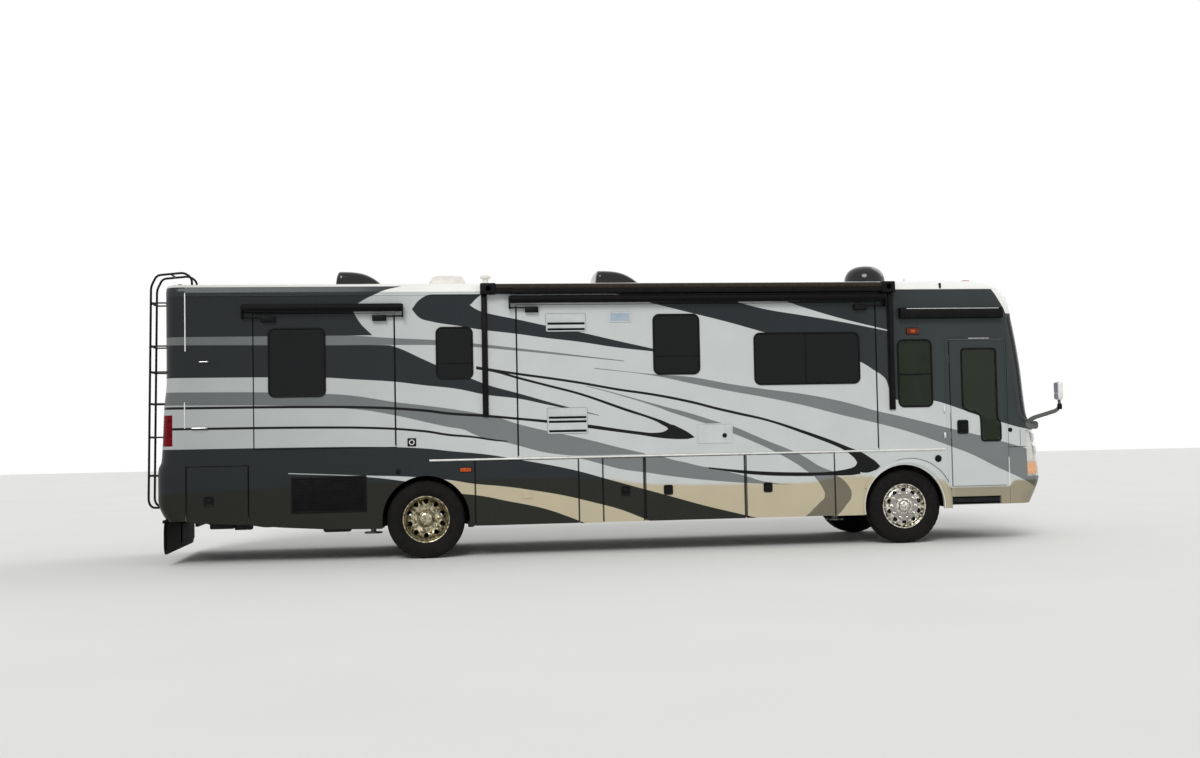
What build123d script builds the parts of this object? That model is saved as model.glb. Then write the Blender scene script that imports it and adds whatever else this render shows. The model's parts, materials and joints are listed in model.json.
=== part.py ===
from build123d import *
import math
import os

# Motorhome, sizes in millimetres. X runs forward from the rear axle, Y left, Z up from the ground.
wheelbase = 6400
half_width = 1275
wall_thick = 40
skirt_thick = 35
cap_thick = 42
glass_thick = 8
pin_gap = 0.5  # clearance at hinges, guides and bearings
seam = 8  # open gap round doors and slide-outs

# Levels
belt_z = 1262  # top of the baggage skirt
belt_strip_h = 18
floor_top = 1250
floor_thick = 60
bay_floor_z = 412
bay_floor_thick = 20
roof_edge_z = 3430
roof_top = roof_edge_z + 150  # on the centre line
roof_thick = 45

# Lengthwise stations
tail_x = 3418  # rearmost point of the rear cap, behind the axle
cap_rear_x = 438 - tail_x  # front edge of the rear cap
cap_front_x = wheelbase + 1460  # rear edge of the front cap below the roof
roof_front_x = wheelbase + 550
nose_x = wheelbase + 2172  # foremost point of the nose, on the centre line

# Wheels
tyre_r = 500
tyre_w = 275
tyre_bead_r = 290
rim_w = 214
rim_wall = 14
front_tyre_y = half_width - 208
dual_tyre_y = (half_width - 188, half_width - 498)
kingpin_y = front_tyre_y - 137
kingpin_r = 45
arch_r = 555
arch_z = 505
front_arch_x = wheelbase - 30
well_r = 600
well_thick = 12

# Chassis
rail_in = 400
rail_w = 80
rail_z = (930, floor_top - floor_thick)
rail_x = (cap_rear_x + 30, wheelbase + 1600)

# Ladder
ladder_x = -tail_x - 77
ladder_r = 13
ladder_y = (-1000, -600)
ladder_bottom = 730

# Frame of the finished row: its X origin is midway between the ladder's rear and the nose
centre_x = (nose_x + ladder_x - ladder_r) / 2


def block(x0, x1, y0, y1, z0, z1):
    return Pos((x0 + x1) / 2, (y0 + y1) / 2, (z0 + z1) / 2) * Box(abs(x1 - x0), abs(y1 - y0), abs(z1 - z0))


def side_plate(points, y0, y1):
    low, high = min(y0, y1), max(y0, y1)
    outline = Plane.XZ.offset(-high) * make_face(Polyline(*points, close=True))
    return extrude(outline, high - low)


def side_round(x0, x1, z0, z1, radius, y0, y1):
    low, high = min(y0, y1), max(y0, y1)
    outline = Pos((x0 + x1) / 2, (z0 + z1) / 2) * RectangleRounded(x1 - x0, z1 - z0, radius)
    return extrude(Plane.XZ.offset(-high) * outline, high - low)


def side_disc(x, z, radius, y0, y1):
    low, high = min(y0, y1), max(y0, y1)
    return extrude(Plane.XZ.offset(-high) * Pos(x, z) * Circle(radius), high - low)


def upright(x, y, radius, z0, z1):
    return Pos(x, y, (z0 + z1) / 2) * Cylinder(radius, z1 - z0)


def rod(start, end, radius):
    a, b = Vector(*start), Vector(*end)
    return extrude(Plane(origin=a, z_dir=b - a) * Circle(radius), (b - a).length)


def tube_run(points, radius):
    run = rod(points[0], points[1], radius)
    for a, b in zip(points[1:], points[2:]):
        run += Pos(*a) * Sphere(radius)
        run += rod(a, b, radius)
    return run


def group(pieces):
    whole = pieces[0]
    for piece in pieces[1:]:
        whole = whole + piece
    return whole


def rows(table, names):
    return [dict(zip(names, row)) for row in table]


def plan_face(z, x_back, nose, half, bow, corner, end):
    turn = math.asin((half - corner) / (bow - corner))
    corner_x = nose - bow + (bow - corner) * math.cos(turn)
    middle = (turn + math.pi / 2) / 2
    join = (nose - bow + bow * math.cos(turn), bow * math.sin(turn))
    bend = (corner_x + corner * math.cos(middle), half - corner + corner * math.sin(middle))

    def at(x, y):
        return (end * x, y, z)

    edges = [
        Line(at(x_back, -half), at(corner_x, -half)),
        ThreePointArc(at(corner_x, -half), at(bend[0], -bend[1]), at(join[0], -join[1])),
        ThreePointArc(at(join[0], -join[1]), at(nose, 0), at(*join)),
        ThreePointArc(at(*join), at(*bend), at(corner_x, half)),
        Line(at(corner_x, half), at(x_back, half)),
        Line(at(x_back, half), at(x_back, -half)),
    ]
    return make_face(Wire(edges))


# Height, foremost X on the centre line and half width of each level of the front cap
front_levels = rows([
    (500, nose_x - 152, half_width), (700, nose_x - 52, half_width), (870, nose_x, half_width),
    (1265, nose_x - 42, half_width), (1500, nose_x - 82, half_width), (1700, nose_x - 152, half_width),
    (2400, nose_x - 227, half_width), (3150, nose_x - 357, half_width), (3330, nose_x - 412, half_width),
    (roof_edge_z, nose_x - 482, half_width), (roof_edge_z + 70, nose_x - 582, half_width - 20),
    (roof_edge_z + 100, nose_x - 682, half_width - 65), (roof_edge_z + 130, nose_x - 852, half_width - 275),
    (roof_top, nose_x - 1222, half_width - 875),
], ("z", "nose", "half"))
rear_levels = rows([
    (560, tail_x - 112, half_width), (650, tail_x - 51, half_width), (800, tail_x, half_width),
    (1200, tail_x, half_width), (1300, tail_x - 41, half_width), (1400, tail_x - 51, half_width),
    (2000, tail_x - 81, half_width), (2300, tail_x - 112, half_width), (roof_edge_z, tail_x - 112, half_width),
    (roof_edge_z + 70, tail_x - 118, half_width - 20), (roof_edge_z + 100, tail_x - 133, half_width - 65),
    (roof_edge_z + 130, tail_x - 158, half_width - 275), (roof_top, tail_x - 198, half_width - 875),
], ("z", "nose", "half"))
front_bow, front_corner = 3000, 300
rear_bow, rear_corner = 8000, 200


def cap_solid(levels, x_back, bow, corner, end, inset=0):
    faces = []
    for level in levels:
        z = level["z"]
        if inset and z == levels[0]["z"]:
            z -= 20
        if inset and level["half"] < half_width:
            z -= inset
        elif inset and z == roof_edge_z:
            z -= inset * 0.6
        faces.append(plan_face(z, x_back, level["nose"] - inset, level["half"] - inset,
                               bow - inset, corner - inset, end))
    return loft(faces, ruled=True)


def cap_shell(levels, x_back, bow, corner, end, thick):
    return cap_solid(levels, x_back, bow, corner, end) - cap_solid(levels, x_back - 20, bow, corner, end, thick)


def nose_at(levels, z):
    for a, b in zip(levels, levels[1:]):
        if a["z"] <= z <= b["z"]:
            return a["nose"] + (b["nose"] - a["nose"]) * (z - a["z"]) / (b["z"] - a["z"])
    return levels[-1]["nose"]


parts = {}

# Chassis frame: two rails, cross members, outriggers and the hitch receiver
frame = None
for side in (-1, 1):
    rail = block(rail_x[0], rail_x[1], side * rail_in, side * (rail_in + rail_w), *rail_z)
    frame = rail if frame is None else frame + rail
cross_x = (cap_rear_x + 80, -700, 700, 2100, 3600, wheelbase - 1400, wheelbase - 800, wheelbase + 600, wheelbase + 1500)
outrigger_x = (cap_rear_x + 280, -900, 1200, 3100, wheelbase - 1700, wheelbase - 700)
for x in cross_x:
    frame += block(x - 40, x + 40, -rail_in, rail_in, rail_z[1] - 160, rail_z[1] - 20)
for x in outrigger_x:
    for side in (-1, 1):
        frame += block(x - 25, x + 25, side * (rail_in + rail_w), side * 1215, rail_z[1] - 90, rail_z[1])
receiver_half, receiver_bore, receiver_z, receiver_pin_r = 38, 25.5, 505, 8
hitch_x = (-tail_x + 128, cap_rear_x - 10, cap_rear_x + 30)  # receiver mouth, then its cross plate
hitch = block(hitch_x[0], hitch_x[2], -receiver_half, receiver_half, receiver_z - receiver_half, receiver_z + receiver_half)
hitch += block(*hitch_x[1:], -480, 480, receiver_z - 60, receiver_z + 60)
for side in (-1, 1):
    hitch += block(*hitch_x[1:], side * rail_in, side * (rail_in + rail_w), receiver_z - 60, rail_z[1])
hitch -= block(hitch_x[0] - 10, hitch_x[1] - 10, -receiver_bore, receiver_bore, receiver_z - receiver_bore, receiver_z + receiver_bore)
hitch -= Pos(hitch_x[0] + 64, 0, receiver_z) * Rotation(90, 0, 0) * Cylinder(receiver_pin_r, 4 * receiver_half)
fittings = [hitch]  # hung under the rails: hitch and jack cases
parts["chassis_frame"] = frame
jack_rows = rows([("front_left", wheelbase - 780, 540), ("front_right", wheelbase - 780, -540),
                  ("rear_left", -690, 540), ("rear_right", -690, -540)], ("name", "x", "y"))
jack_case_r, jack_ram_r = 50, 36
jack_case_z = (500, 930)
jack_foot_z, jack_foot_r, jack_foot_h = 300, 118, 18
for jack in jack_rows:
    side = 1 if jack["y"] > 0 else -1
    case = upright(jack["x"], jack["y"], jack_case_r, *jack_case_z)
    case += block(jack["x"] - 60, jack["x"] + 60, side * (rail_in + rail_w), jack["y"] + side * 40,
                  jack_case_z[1] - 20, jack_case_z[1] + 60)
    case -= upright(jack["x"], jack["y"], jack_ram_r + pin_gap, jack_case_z[0] - 1, jack_case_z[1] - 30)
    fittings.append(case)
parts["frame_fittings"] = group(fittings)

for jack in jack_rows:
    ram = upright(jack["x"], jack["y"], jack_ram_r, jack_foot_z + jack_foot_h, jack_case_z[1] - 40)
    ram += upright(jack["x"], jack["y"], jack_foot_r, jack_foot_z, jack_foot_z + jack_foot_h)
    parts["jack_" + jack["name"]] = ram

# Powertrain, plain blocks at their real places: engine, radiator and silencer
engine_x = cap_rear_x + 480
engine = block(engine_x, engine_x + 1250, -340, 340, 560, 1150)
radiator = block(-1680, -760, -1200, -1110, 610, 1100)
for x in (engine_x + 250, engine_x + 1050):
    for side in (-1, 1):
        engine += block(x - 50, x + 50, side * 340, side * rail_in, 1000, 1090)
radiator += block(-1300, -1220, -1200, -1130, 1100, rail_z[1])
silencer = Pos(engine_x + 50, -820, 580) * Rotation(0, 90, 0) * Cylinder(115, 560)
silencer += block(engine_x + 20, engine_x + 80, -845, -795, 680, rail_z[1])
parts["powertrain"] = group([engine, radiator, silencer])

# Floor with the entry stairwell at the right front
stair_y, stair_x = (50 - half_width, -640), (wheelbase + 660, wheelbase + 1440)
cab_x = stair_x[0] - 18  # where the cab floor starts
floor_z = (floor_top - floor_thick, floor_top)
floor_half = half_width - skirt_thick - 15
deck = block(cap_rear_x - 150, cab_x, -floor_half, floor_half, *floor_z)
cab_floor = Plane.XY.offset(floor_z[0]) * make_face(Polyline(
    (cab_x, stair_y[1]), (stair_x[1] + 60, stair_y[1]), (stair_x[1] + 60, -floor_half), (nose_x - 572, -floor_half),
    (nose_x - 302, 325 - half_width), (nose_x - 302, half_width - 325), (nose_x - 572, floor_half),
    (cab_x, floor_half), close=True))
deck += extrude(cab_floor, floor_thick)
tread = 20
for low, y0, y1 in ((722, stair_y[0], -930), (985, -930, stair_y[1])):
    deck += block(stair_x[0], stair_x[1], y0, y1, low, low + tread)
deck += block(stair_x[0], stair_x[1], -930 - tread, -930, 722, 985 + tread)
deck += block(stair_x[0], stair_x[1], stair_y[1] - tread, stair_y[1], 985, floor_top)
for x0, x1 in ((cab_x, stair_x[0]), (stair_x[1], stair_x[1] + 18)):
    deck += block(x0, x1, stair_y[0], stair_y[1], 722, floor_top)
for x in (1400, 2600, 3900, wheelbase - 1300, wheelbase - 600):
    deck += block(x - 40, x + 40, -floor_half, -700, floor_top, belt_z + seam - pin_gap)
for x in (-1900, -600):
    deck += block(x - 40, x + 40, -floor_half, -900, floor_top, 1440 - pin_gap)

# Baggage bays: floor pan and bulkheads round the frame rails
bay_x = (620, wheelbase - 980)
bulkhead_x = (630, 1982, 2278, 2840, wheelbase - 2210, wheelbase - 988)
bay_z = (bay_floor_z, bay_floor_z + bay_floor_thick)
bays = block(bay_x[0], bay_x[1], -floor_half, floor_half, *bay_z)
for x in bulkhead_x:
    bays += block(x - 10, x + 10, -floor_half, floor_half, bay_z[1], floor_z[0])
for side in (-1, 1):
    bays -= block(0, bay_x[1] + 580, side * rail_in, side * (rail_in + rail_w), *rail_z)
for x in cross_x[2:6]:
    bays -= block(x - 40, x + 40, -rail_in, rail_in, rail_z[1] - 160, rail_z[1] - 20)
for x in outrigger_x[2:5]:
    bays -= block(x - 25, x + 25, -1215, 1215, rail_z[1] - 90, rail_z[1])
parts["storage_bays"] = bays

# Wheel wells over the four wheel places, and the rear mud flap
wells = []
for x in (0, wheelbase):
    for side in (-1, 1):
        y0, y1 = side * 520, side * (half_width - skirt_thick)
        shell = side_disc(x, arch_z, well_r + well_thick, y0, y1) - side_disc(x, arch_z, well_r, y0, y1)
        shell -= block(x - 700, x + 700, y0, y1, -200, arch_z)
        for end in (-1, 1):
            shell += block(x + end * well_r, x + end * (well_r + well_thick), y0, y1, 470, arch_z)
        wells.append(shell)
flap_x, flap_half, flap_gap = -tail_x + 168, 1060, 60
for side in (-1, 1):
    wells.append(block(flap_x - 6, flap_x + 6, side * flap_gap, side * flap_half, 200, rear_levels[0]["z"]))
parts["wheel_wells"] = group(wells)

# Openings in the side walls
slide_rows = rows([
    ("main", 1190, wheelbase - 370, belt_z + seam, 3245), ("bedroom", -2140, -370, 1440, 3150),
], ("name", "x0", "x1", "z0", "z1"))
window_rows = rows([
    ("bedroom", -1, -1960, -1240, 2090, 2975, 85), ("wall", -1, 150, 630, 2290, 2970, 85),
    ("main", -1, 2985, 3615, 2310, 3115, 90), ("main", -1, wheelbase - 2060, wheelbase - 600, 2155, 2855, 90),
    ("wall", -1, wheelbase - 80, wheelbase + 410, 1825, 2745, 85), ("wall", 1, -2000, -1100, 2150, 2900, 85),
    ("wall", 1, 250, 850, 2350, 2950, 85), ("wall", 1, 2700, 4100, 2150, 2900, 90),
    ("wall", 1, wheelbase - 1500, wheelbase - 500, 2150, 2900, 90),
    ("wall", 1, wheelbase + 680, wheelbase + 1380, 1850, 2880, 85),
], ("holder", "side", "x0", "x1", "z0", "z1", "radius"))
frame_lip, frame_proud = 22, 12  # black window frame inside its outline, and out of the wall

door_x0, door_x1, door_z0, door_z1 = wheelbase + 650, wheelbase + 1452, 746, 2730
wall_in = half_width - wall_thick
right_outline = [
    (cap_rear_x, belt_z), (door_x0 - seam, belt_z), (door_x0 - seam, door_z1 + seam),
    (cap_front_x, door_z1 + seam), (cap_front_x, roof_edge_z), (cap_rear_x, roof_edge_z)]
left_outline = [(cap_rear_x, belt_z), (cap_front_x, belt_z), (cap_front_x, roof_edge_z), (cap_rear_x, roof_edge_z)]
walls = {-1: side_plate(right_outline, -half_width, -wall_in), 1: side_plate(left_outline, wall_in, half_width)}
for slide in slide_rows:
    walls[-1] -= block(slide["x0"] - seam, slide["x1"] + seam, -half_width - 5, -wall_in + 5,
                       slide["z0"] - seam - (20 if slide["name"] == "main" else 0), slide["z1"] + seam)


def window_hole(row, y_out, y_in, clear=0):
    edge = frame_lip + clear
    return side_round(row["x0"] + edge, row["x1"] - edge, row["z0"] + edge, row["z1"] - edge,
                      row["radius"] - edge, row["side"] * y_out, row["side"] * y_in)


def window_unit(row):
    pane = side_round(row["x0"], row["x1"], row["z0"], row["z1"], row["radius"],
                      row["side"] * half_width, row["side"] * (half_width + frame_proud))
    return pane + window_hole(row, half_width, half_width - glass_thick, 1)


wall_panes = []
for row in window_rows:
    if row["holder"] == "wall":
        walls[row["side"]] -= window_hole(row, half_width + 5, wall_in - 5)
        wall_panes.append(window_unit(row))
for z0, z1 in ((1400, 1480), (1740, 1850), (2420, 2530)):  # entry door hinge leaves
    walls[-1] += block(door_x0 - seam - 2, door_x0 - pin_gap, -half_width, -half_width + 30, z0, z1)
parts["right_wall"] = walls[-1]
parts["left_wall"] = walls[1]
parts["wall_windows"] = group(wall_panes)

# Slide-outs: outer panel with a box behind it, open to the cabin
slide_depth, slide_wall = 620, 35
for slide in slide_rows:
    x0, x1, z0, z1 = slide["x0"], slide["x1"], slide["z0"], slide["z1"]
    y_in = -half_width + slide_depth
    body = block(x0, x1, -half_width, y_in, z0, z1)
    body -= block(x0 + slide_wall, x1 - slide_wall, -half_width + wall_thick, y_in + 5, z0 + slide_wall, z1 - slide_wall)
    panes = []
    for row in window_rows:
        if row["holder"] == slide["name"]:
            body -= window_hole(row, half_width + 5, wall_in - 5)
            panes.append(window_unit(row))
    parts[slide["name"] + "_slide"] = body
    parts[slide["name"] + "_slide_windows"] = group(panes)

# Slide-out awnings: roller with end brackets carried by the slide-out
topper_rows = rows([
    ("main", 1095, wheelbase - 240, 3316, 50, 3180,
     ((1310, 1480), (wheelbase - 670, wheelbase - 500))),
    ("bedroom", -2280, -255, 3222, 52, 3085, ((-2040, -1860), (-650, -470))),
], ("name", "x0", "x1", "z", "radius", "block_z", "blocks"))
topper_y = -half_width - 62
for row in topper_rows:
    roller = Pos((row["x0"] + row["x1"]) / 2, topper_y, row["z"]) * Rotation(0, 90, 0) * Cylinder(
        row["radius"], row["x1"] - row["x0"] - 40)
    for x0, x1 in ((row["x0"], row["x0"] + 20), (row["x1"] - 20, row["x1"])):
        roller += block(x0, x1, topper_y - 45, topper_y + 40, row["block_z"] + 5, row["z"] + 40)
    for x0, x1 in row["blocks"]:
        roller += block(x0, x1, -half_width - 60, -half_width, row["block_z"] - 35, row["block_z"] + 40)
    ends = (row["x0"] + 20, row["x1"] - 20)
    for end_x, (x0, x1) in zip(ends, row["blocks"]):
        roller += block(min(end_x, x0), max(end_x, x1), -half_width - 60, -half_width - 30,
                        row["block_z"] + 15, row["block_z"] + 35)
    parts[row["name"] + "_slide_awning"] = roller

# Skirts below the belt, with door openings and wheel arches
skirt_in = half_width - skirt_thick
skirt_rear_x = cap_rear_x + 4
skirt_bottom = [(skirt_rear_x, 548), (skirt_rear_x + 76, 530), (-2200, 490), (-1800, 450), (-1500, 430), (-1200, 410), (-600, 400)]
bay_door_z = (404, 1233)
bay_top = 1244  # underside of the sill over the doors
step_x, step_z = (door_x0 - 20, door_x1 - 119), (500, 612)
right_doors = rows([
    ("right_rear_door", cap_rear_x + 10, -2215), ("right_bay_door_1", 630, 1972), ("right_bay_door_2", 2289, 2830),
    ("right_bay_door_3", 2850, wheelbase - 2220), ("right_bay_door_4", wheelbase - 2200, wheelbase - 990),
], ("name", "x0", "x1"))
left_doors = rows([
    ("left_bay_door_1", 630, 2268), ("left_bay_door_2", 2288, wheelbase - 2560),
    ("left_bay_door_3", wheelbase - 2540, wheelbase - 990),
], ("name", "x0", "x1"))


def floor_line(x):
    for (xa, za), (xb, zb) in zip(skirt_bottom, skirt_bottom[1:]):
        if xa <= x <= xb:
            return za + (zb - za) * (x - xa) / (xb - xa)
    return skirt_bottom[0][1] if x < skirt_bottom[0][0] else 400


def skirt(side, doors, front_outline):
    y_out, y_in = side * half_width, side * skirt_in
    outline = skirt_bottom + [(front_arch_x - arch_r, 400)] + front_outline
    outline += [(skirt_rear_x, belt_z)]
    panel = side_plate(outline, y_out, y_in)
    panel += block(skirt_rear_x, cab_x, side * skirt_in, side * floor_half, bay_top, belt_z)
    for x, drop in ((0, 0), (front_arch_x, 0)):
        panel -= side_disc(x, arch_z, arch_r, side * (half_width + 5), side * (skirt_in - 5))
        panel -= block(x - arch_r, x + arch_r - (20 if x == 0 else 0), side * (half_width + 5),
                       side * (skirt_in - 5), 300, arch_z)
    groups = [(cap_rear_x - 120, -2205), (620, 1982), (2279, bay_x[1])] if side < 0 else [bay_x]
    for x0, x1 in groups:
        panel -= block(x0, x1, side * (half_width + 5), side * (skirt_in - 0.5), 300, bay_top)
    flare = side_disc(front_arch_x, arch_z, arch_r + 62, y_out, side * (half_width + 14))
    flare -= side_disc(front_arch_x, arch_z, arch_r, y_out, side * (half_width + 14))
    flare -= block(front_arch_x - 700, front_arch_x + 700, y_out, side * (half_width + 14), -200, arch_z + 250)
    panel += flare
    for row in doors:
        for x in (row["x0"] + 120, row["x1"] - 120):
            panel += block(x - 40, x + 40, side * (half_width - 17), side * (skirt_in + 2),
                           bay_door_z[1] + pin_gap, bay_top)
    panel += block(50, roof_front_x, y_out, side * (half_width + 13), belt_z - belt_strip_h, belt_z)
    return panel


front_right = [
    (front_arch_x + arch_r, 400), (front_arch_x + arch_r, 460), (step_x[0] - 5, 460), (step_x[0] - 5, step_z[1]),
    (step_x[1], step_z[1]), (step_x[1], step_z[0]), (cap_front_x, step_z[0]), (cap_front_x, door_z0 - seam),
    (door_x0 - seam, door_z0 - seam), (door_x0 - seam, belt_z)]
front_left = [(front_arch_x + arch_r, 400), (front_arch_x + arch_r, 460), (step_x[0] - 5, 460), (step_x[0] + 30, 500),
              (cap_front_x, 500), (cap_front_x, belt_z)]
right_skirt = skirt(-1, right_doors, front_right)
grille_x, grille_z = (-1670, -765), (640, 1070)
right_skirt -= block(grille_x[0], grille_x[1], -half_width - 5, -skirt_in + 5, *grille_z)
slat_pitch = 43
for i in range(int((grille_z[1] - grille_z[0]) / slat_pitch)):
    z = grille_z[0] + slat_pitch * (i + 0.5)
    right_skirt += block(grille_x[0], grille_x[1], -half_width + 8, -skirt_in - 4, z - 9, z + 9)
parts["right_skirt"] = right_skirt
parts["left_skirt"] = skirt(1, left_doors, front_left)

for side, doors in ((-1, right_doors), (1, left_doors)):
    for row in doors:
        low0, low1 = floor_line(row["x0"]), floor_line(row["x1"])
        outline = [(row["x0"], low0 + 4), (row["x1"], low1 + 4), (row["x1"], bay_door_z[1]), (row["x0"], bay_door_z[1])]
        if low0 != low1:
            outline.insert(1, (skirt_rear_x + 76, 534))
        panel = side_plate(outline, side * half_width, side * (skirt_in + 5))
        latch_x = {"right_rear_door": cap_rear_x + 280, "right_bay_door_2": 2585, "right_bay_door_3": 3150,
                   "right_bay_door_4": row["x0"] + 290}.get(row["name"], (row["x0"] + row["x1"]) / 2)
        panel += side_round(latch_x - 58, latch_x + 58, 740, 865, 22, side * half_width, side * (half_width + 10))
        parts[row["name"]] = panel

# Roof over the side walls, with a crown
crown = [(half_width, roof_edge_z), (half_width - 20, roof_edge_z + 70), (half_width - 65, roof_edge_z + 100),
         (half_width - 275, roof_edge_z + 130), (half_width - 875, roof_top)]
roof_outer = [(-y, z) for y, z in crown] + [(y, z) for y, z in reversed(crown)]
roof_inner = [(half_width - wall_thick, roof_edge_z), (half_width - wall_thick, roof_edge_z + 40),
              (half_width - 275, roof_edge_z + 130 - roof_thick), (half_width - 875, roof_top - roof_thick)]
roof_inner = [(-y, z) for y, z in roof_inner] + [(y, z) for y, z in reversed(roof_inner)]
roof_length = roof_front_x - cap_rear_x
roof_plane = Plane.YZ.offset(cap_rear_x)
roof = extrude(roof_plane * make_face(Polyline(*roof_outer, close=True)), roof_length)
roof -= extrude(roof_plane * make_face(Polyline(*roof_inner, close=True)), roof_length)
parts["roof"] = roof

# Front cap, split at the lower cap, with the windscreen opening and lamp pockets
front_shell = cap_shell(front_levels, roof_front_x, front_bow, front_corner, 1, cap_thick)
front_shell -= block(roof_front_x - 50, cap_front_x, -half_width - 5, half_width + 5, 0, roof_edge_z)
screen_w, screen_z, screen_r = 2 * half_width - 70, (1610, 3110), 130  # the glass wraps round the corners
screen_cut = Plane.YZ.offset(nose_x - 772) * Pos(0, sum(screen_z) / 2) * RectangleRounded(
    screen_w, screen_z[1] - screen_z[0], screen_r)
screen_cut = extrude(screen_cut, 1000)
split_z, split_gap = 1265, 4
lamp = {"z0": 860, "z1": 1490, "x": nose_x - 454, "y": half_width - 485}
lamp_zone = None
for side in (-1, 1):
    zone = block(lamp["x"], nose_x + 128, side * lamp["y"], side * (half_width + 10), lamp["z0"], lamp["z1"])
    lamp_zone = zone if lamp_zone is None else lamp_zone + zone
above = (roof_front_x - 100, nose_x + 100, -half_width - 100, half_width + 100)
upper = front_shell & block(*above, split_z + split_gap / 2, roof_top + 120)
lower = front_shell & block(*above, 400, split_z - split_gap / 2)
bar_x = (nose_x - 472, nose_x + 128)
intake = block(*bar_x, -480, 480, 900, 1130) + block(*bar_x, -620, 620, 590, 740)
upper = upper - screen_cut - lamp_zone
lower = lower - lamp_zone - intake
for z in (930, 980, 1030, 1080):
    lower += front_shell & block(*bar_x, -490, 490, z - 9, z + 9)
for z in (620, 665, 710):
    lower += front_shell & block(*bar_x, -630, 630, z - 8, z + 8)
parts["front_cap"] = upper
parts["front_lower_cap"] = lower
thin_shell = cap_shell(front_levels, roof_front_x, front_bow, front_corner, 1, 12)
parts["windscreen"] = thin_shell & screen_cut
headlamps = thin_shell & lamp_zone
parts["headlamps"] = headlamps

# Rear cap with its engine door and tail lamps
rear_shell = cap_shell(rear_levels, -cap_rear_x, rear_bow, rear_corner, -1, cap_thick)
hatch_x = (-tail_x - 82, -tail_x + 218)
hatch = block(*hatch_x, -520, 820, 760, 1720)
hatch_open = block(*hatch_x, -520 - seam, 820 + seam, 760 - seam, 1720 + seam)
tail_zone = None
for side in (-1, 1):
    zone = block(-tail_x - 32, -tail_x + 283, side * (half_width - 265), side * (half_width + 10), 1500, 1890)
    tail_zone = zone if tail_zone is None else tail_zone + zone
rear_cap = rear_shell - hatch_open - tail_zone
for y in (-350, 150, 650):
    rear_cap += block(-tail_x + 82, -tail_x + 100, y - 40, y + 40, 1720 + pin_gap, 1720 + seam + 4)
parts["rear_cap"] = rear_cap
parts["engine_door"] = rear_shell & hatch
rear_thin = cap_shell(rear_levels, -cap_rear_x, rear_bow, rear_corner, -1, 20)
parts["tail_lamps"] = rear_thin & tail_zone

# Amber marker lamps on the sides, over the windscreen and over the rear
marker_rows = rows([(510, 1125, 70, 25), (wheelbase + 145, 2855, 85, 42), (cap_rear_x + 230, 2565, 60, 14)],
                   ("x", "z", "half_x", "half_z"))
markers = []
for row in marker_rows[:2]:
    for side in (-1, 1):
        markers.append(side_round(row["x"] - row["half_x"], row["x"] + row["half_x"], row["z"] - row["half_z"],
                                  row["z"] + row["half_z"], row["half_z"] * 0.9, side * half_width,
                                  side * (half_width + 18)))
for y in (-700, -160, 0, 160, 700):
    markers.append(Pos(nose_x - (872 if abs(y) < 200 else 1012), y, roof_top - 15) * Box(110, 70, 80))
for y in (-700, -160, 0, 160, 700):
    markers.append(Pos(-tail_x + 298, y, roof_top - 20) * Box(60, 90, 80))

# Entry door, hinged at its rear edge
door_thick = 38
door = side_plate([(door_x0, door_z0), (door_x1, door_z0), (door_x1, door_z1), (door_x0, door_z1)],
                  -half_width, -half_width + door_thick)
pane_outline = [(165, 1800), (250, 1745), (350, 1730), (412, 1700), (418, 1400), (470, 1345), (665, 1345),
                (715, 1400), (715, 1560), (672, 1640), (672, 2560), (615, 2618), (215, 2618), (162, 2560)]
pane_hole = [(187, 1812), (260, 1767), (360, 1750), (434, 1715), (440, 1412), (480, 1367), (655, 1367),
             (693, 1410), (693, 1550), (650, 1630), (650, 2550), (605, 2596), (225, 2596), (184, 2550)]
pane_outline, pane_hole = ([(door_x0 + x, z) for x, z in line] for line in (pane_outline, pane_hole))
door -= side_plate(pane_hole, -half_width - 5, -half_width + door_thick + 5)
door += side_round(door_x0 + 90, door_x0 + 240, 1460, 1640, 24, -half_width, -half_width - 12)
parts["entry_door"] = door
parts["entry_door_window"] = (side_plate(pane_outline, -half_width, -half_width - 10)
                              + side_plate(pane_hole, -half_width, -half_width + glass_thick))

# Entry step in its box under the sill
step_board = block(step_x[0] + 10 + pin_gap, step_x[1] - 10 - pin_gap, -1240, -880, 530, 552)
step_board += block(step_x[0] + 10 + pin_gap, step_x[1] - 10 - pin_gap, -1240, -1222, 530, 590)
parts["entry_step"] = step_board
step_box = block(step_x[0], step_x[1], -1240, -860, 500, 612)
step_box -= block(step_x[0] + 10, step_x[1] - 10, -1245, -870, 510, 602)
step_box += block(step_x[0], step_x[1], -1225, -860, 612, 722)

# Axles, with air springs up to the rails
front_axle = block(wheelbase - 50, wheelbase + 50, -855, 855, 445, 545)
for side in (-1, 1):
    for z0, z1 in ((360, 385), (625, 650)):
        front_axle += block(wheelbase - 55, wheelbase + 55, side * 840, side * 975, z0, z1)
    front_axle += block(wheelbase - 55, wheelbase + 55, side * 840, side * 870, 360, 650)
    front_axle += upright(wheelbase, side * 500, 95, 545, rail_z[0])
rear_axle = Rotation(90, 0, 0) * Cylinder(62, 2 * 1000)
rear_axle = Pos(0, 0, tyre_r) * rear_axle
rear_axle += Pos(0, 0, tyre_r) * Sphere(190)
for side in (-1, 1):
    rear_axle += Pos(0, side * 595, tyre_r) * Rotation(90, 0, 0) * Cylinder(195, 70)
    for x in (-300, 300):
        rear_axle += upright(x, side * 500, 95, 620, rail_z[0])
    rear_axle += block(-390, 390, side * 455, side * 545, 560, 640)
parts["axles"] = group([front_axle, rear_axle])

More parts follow.
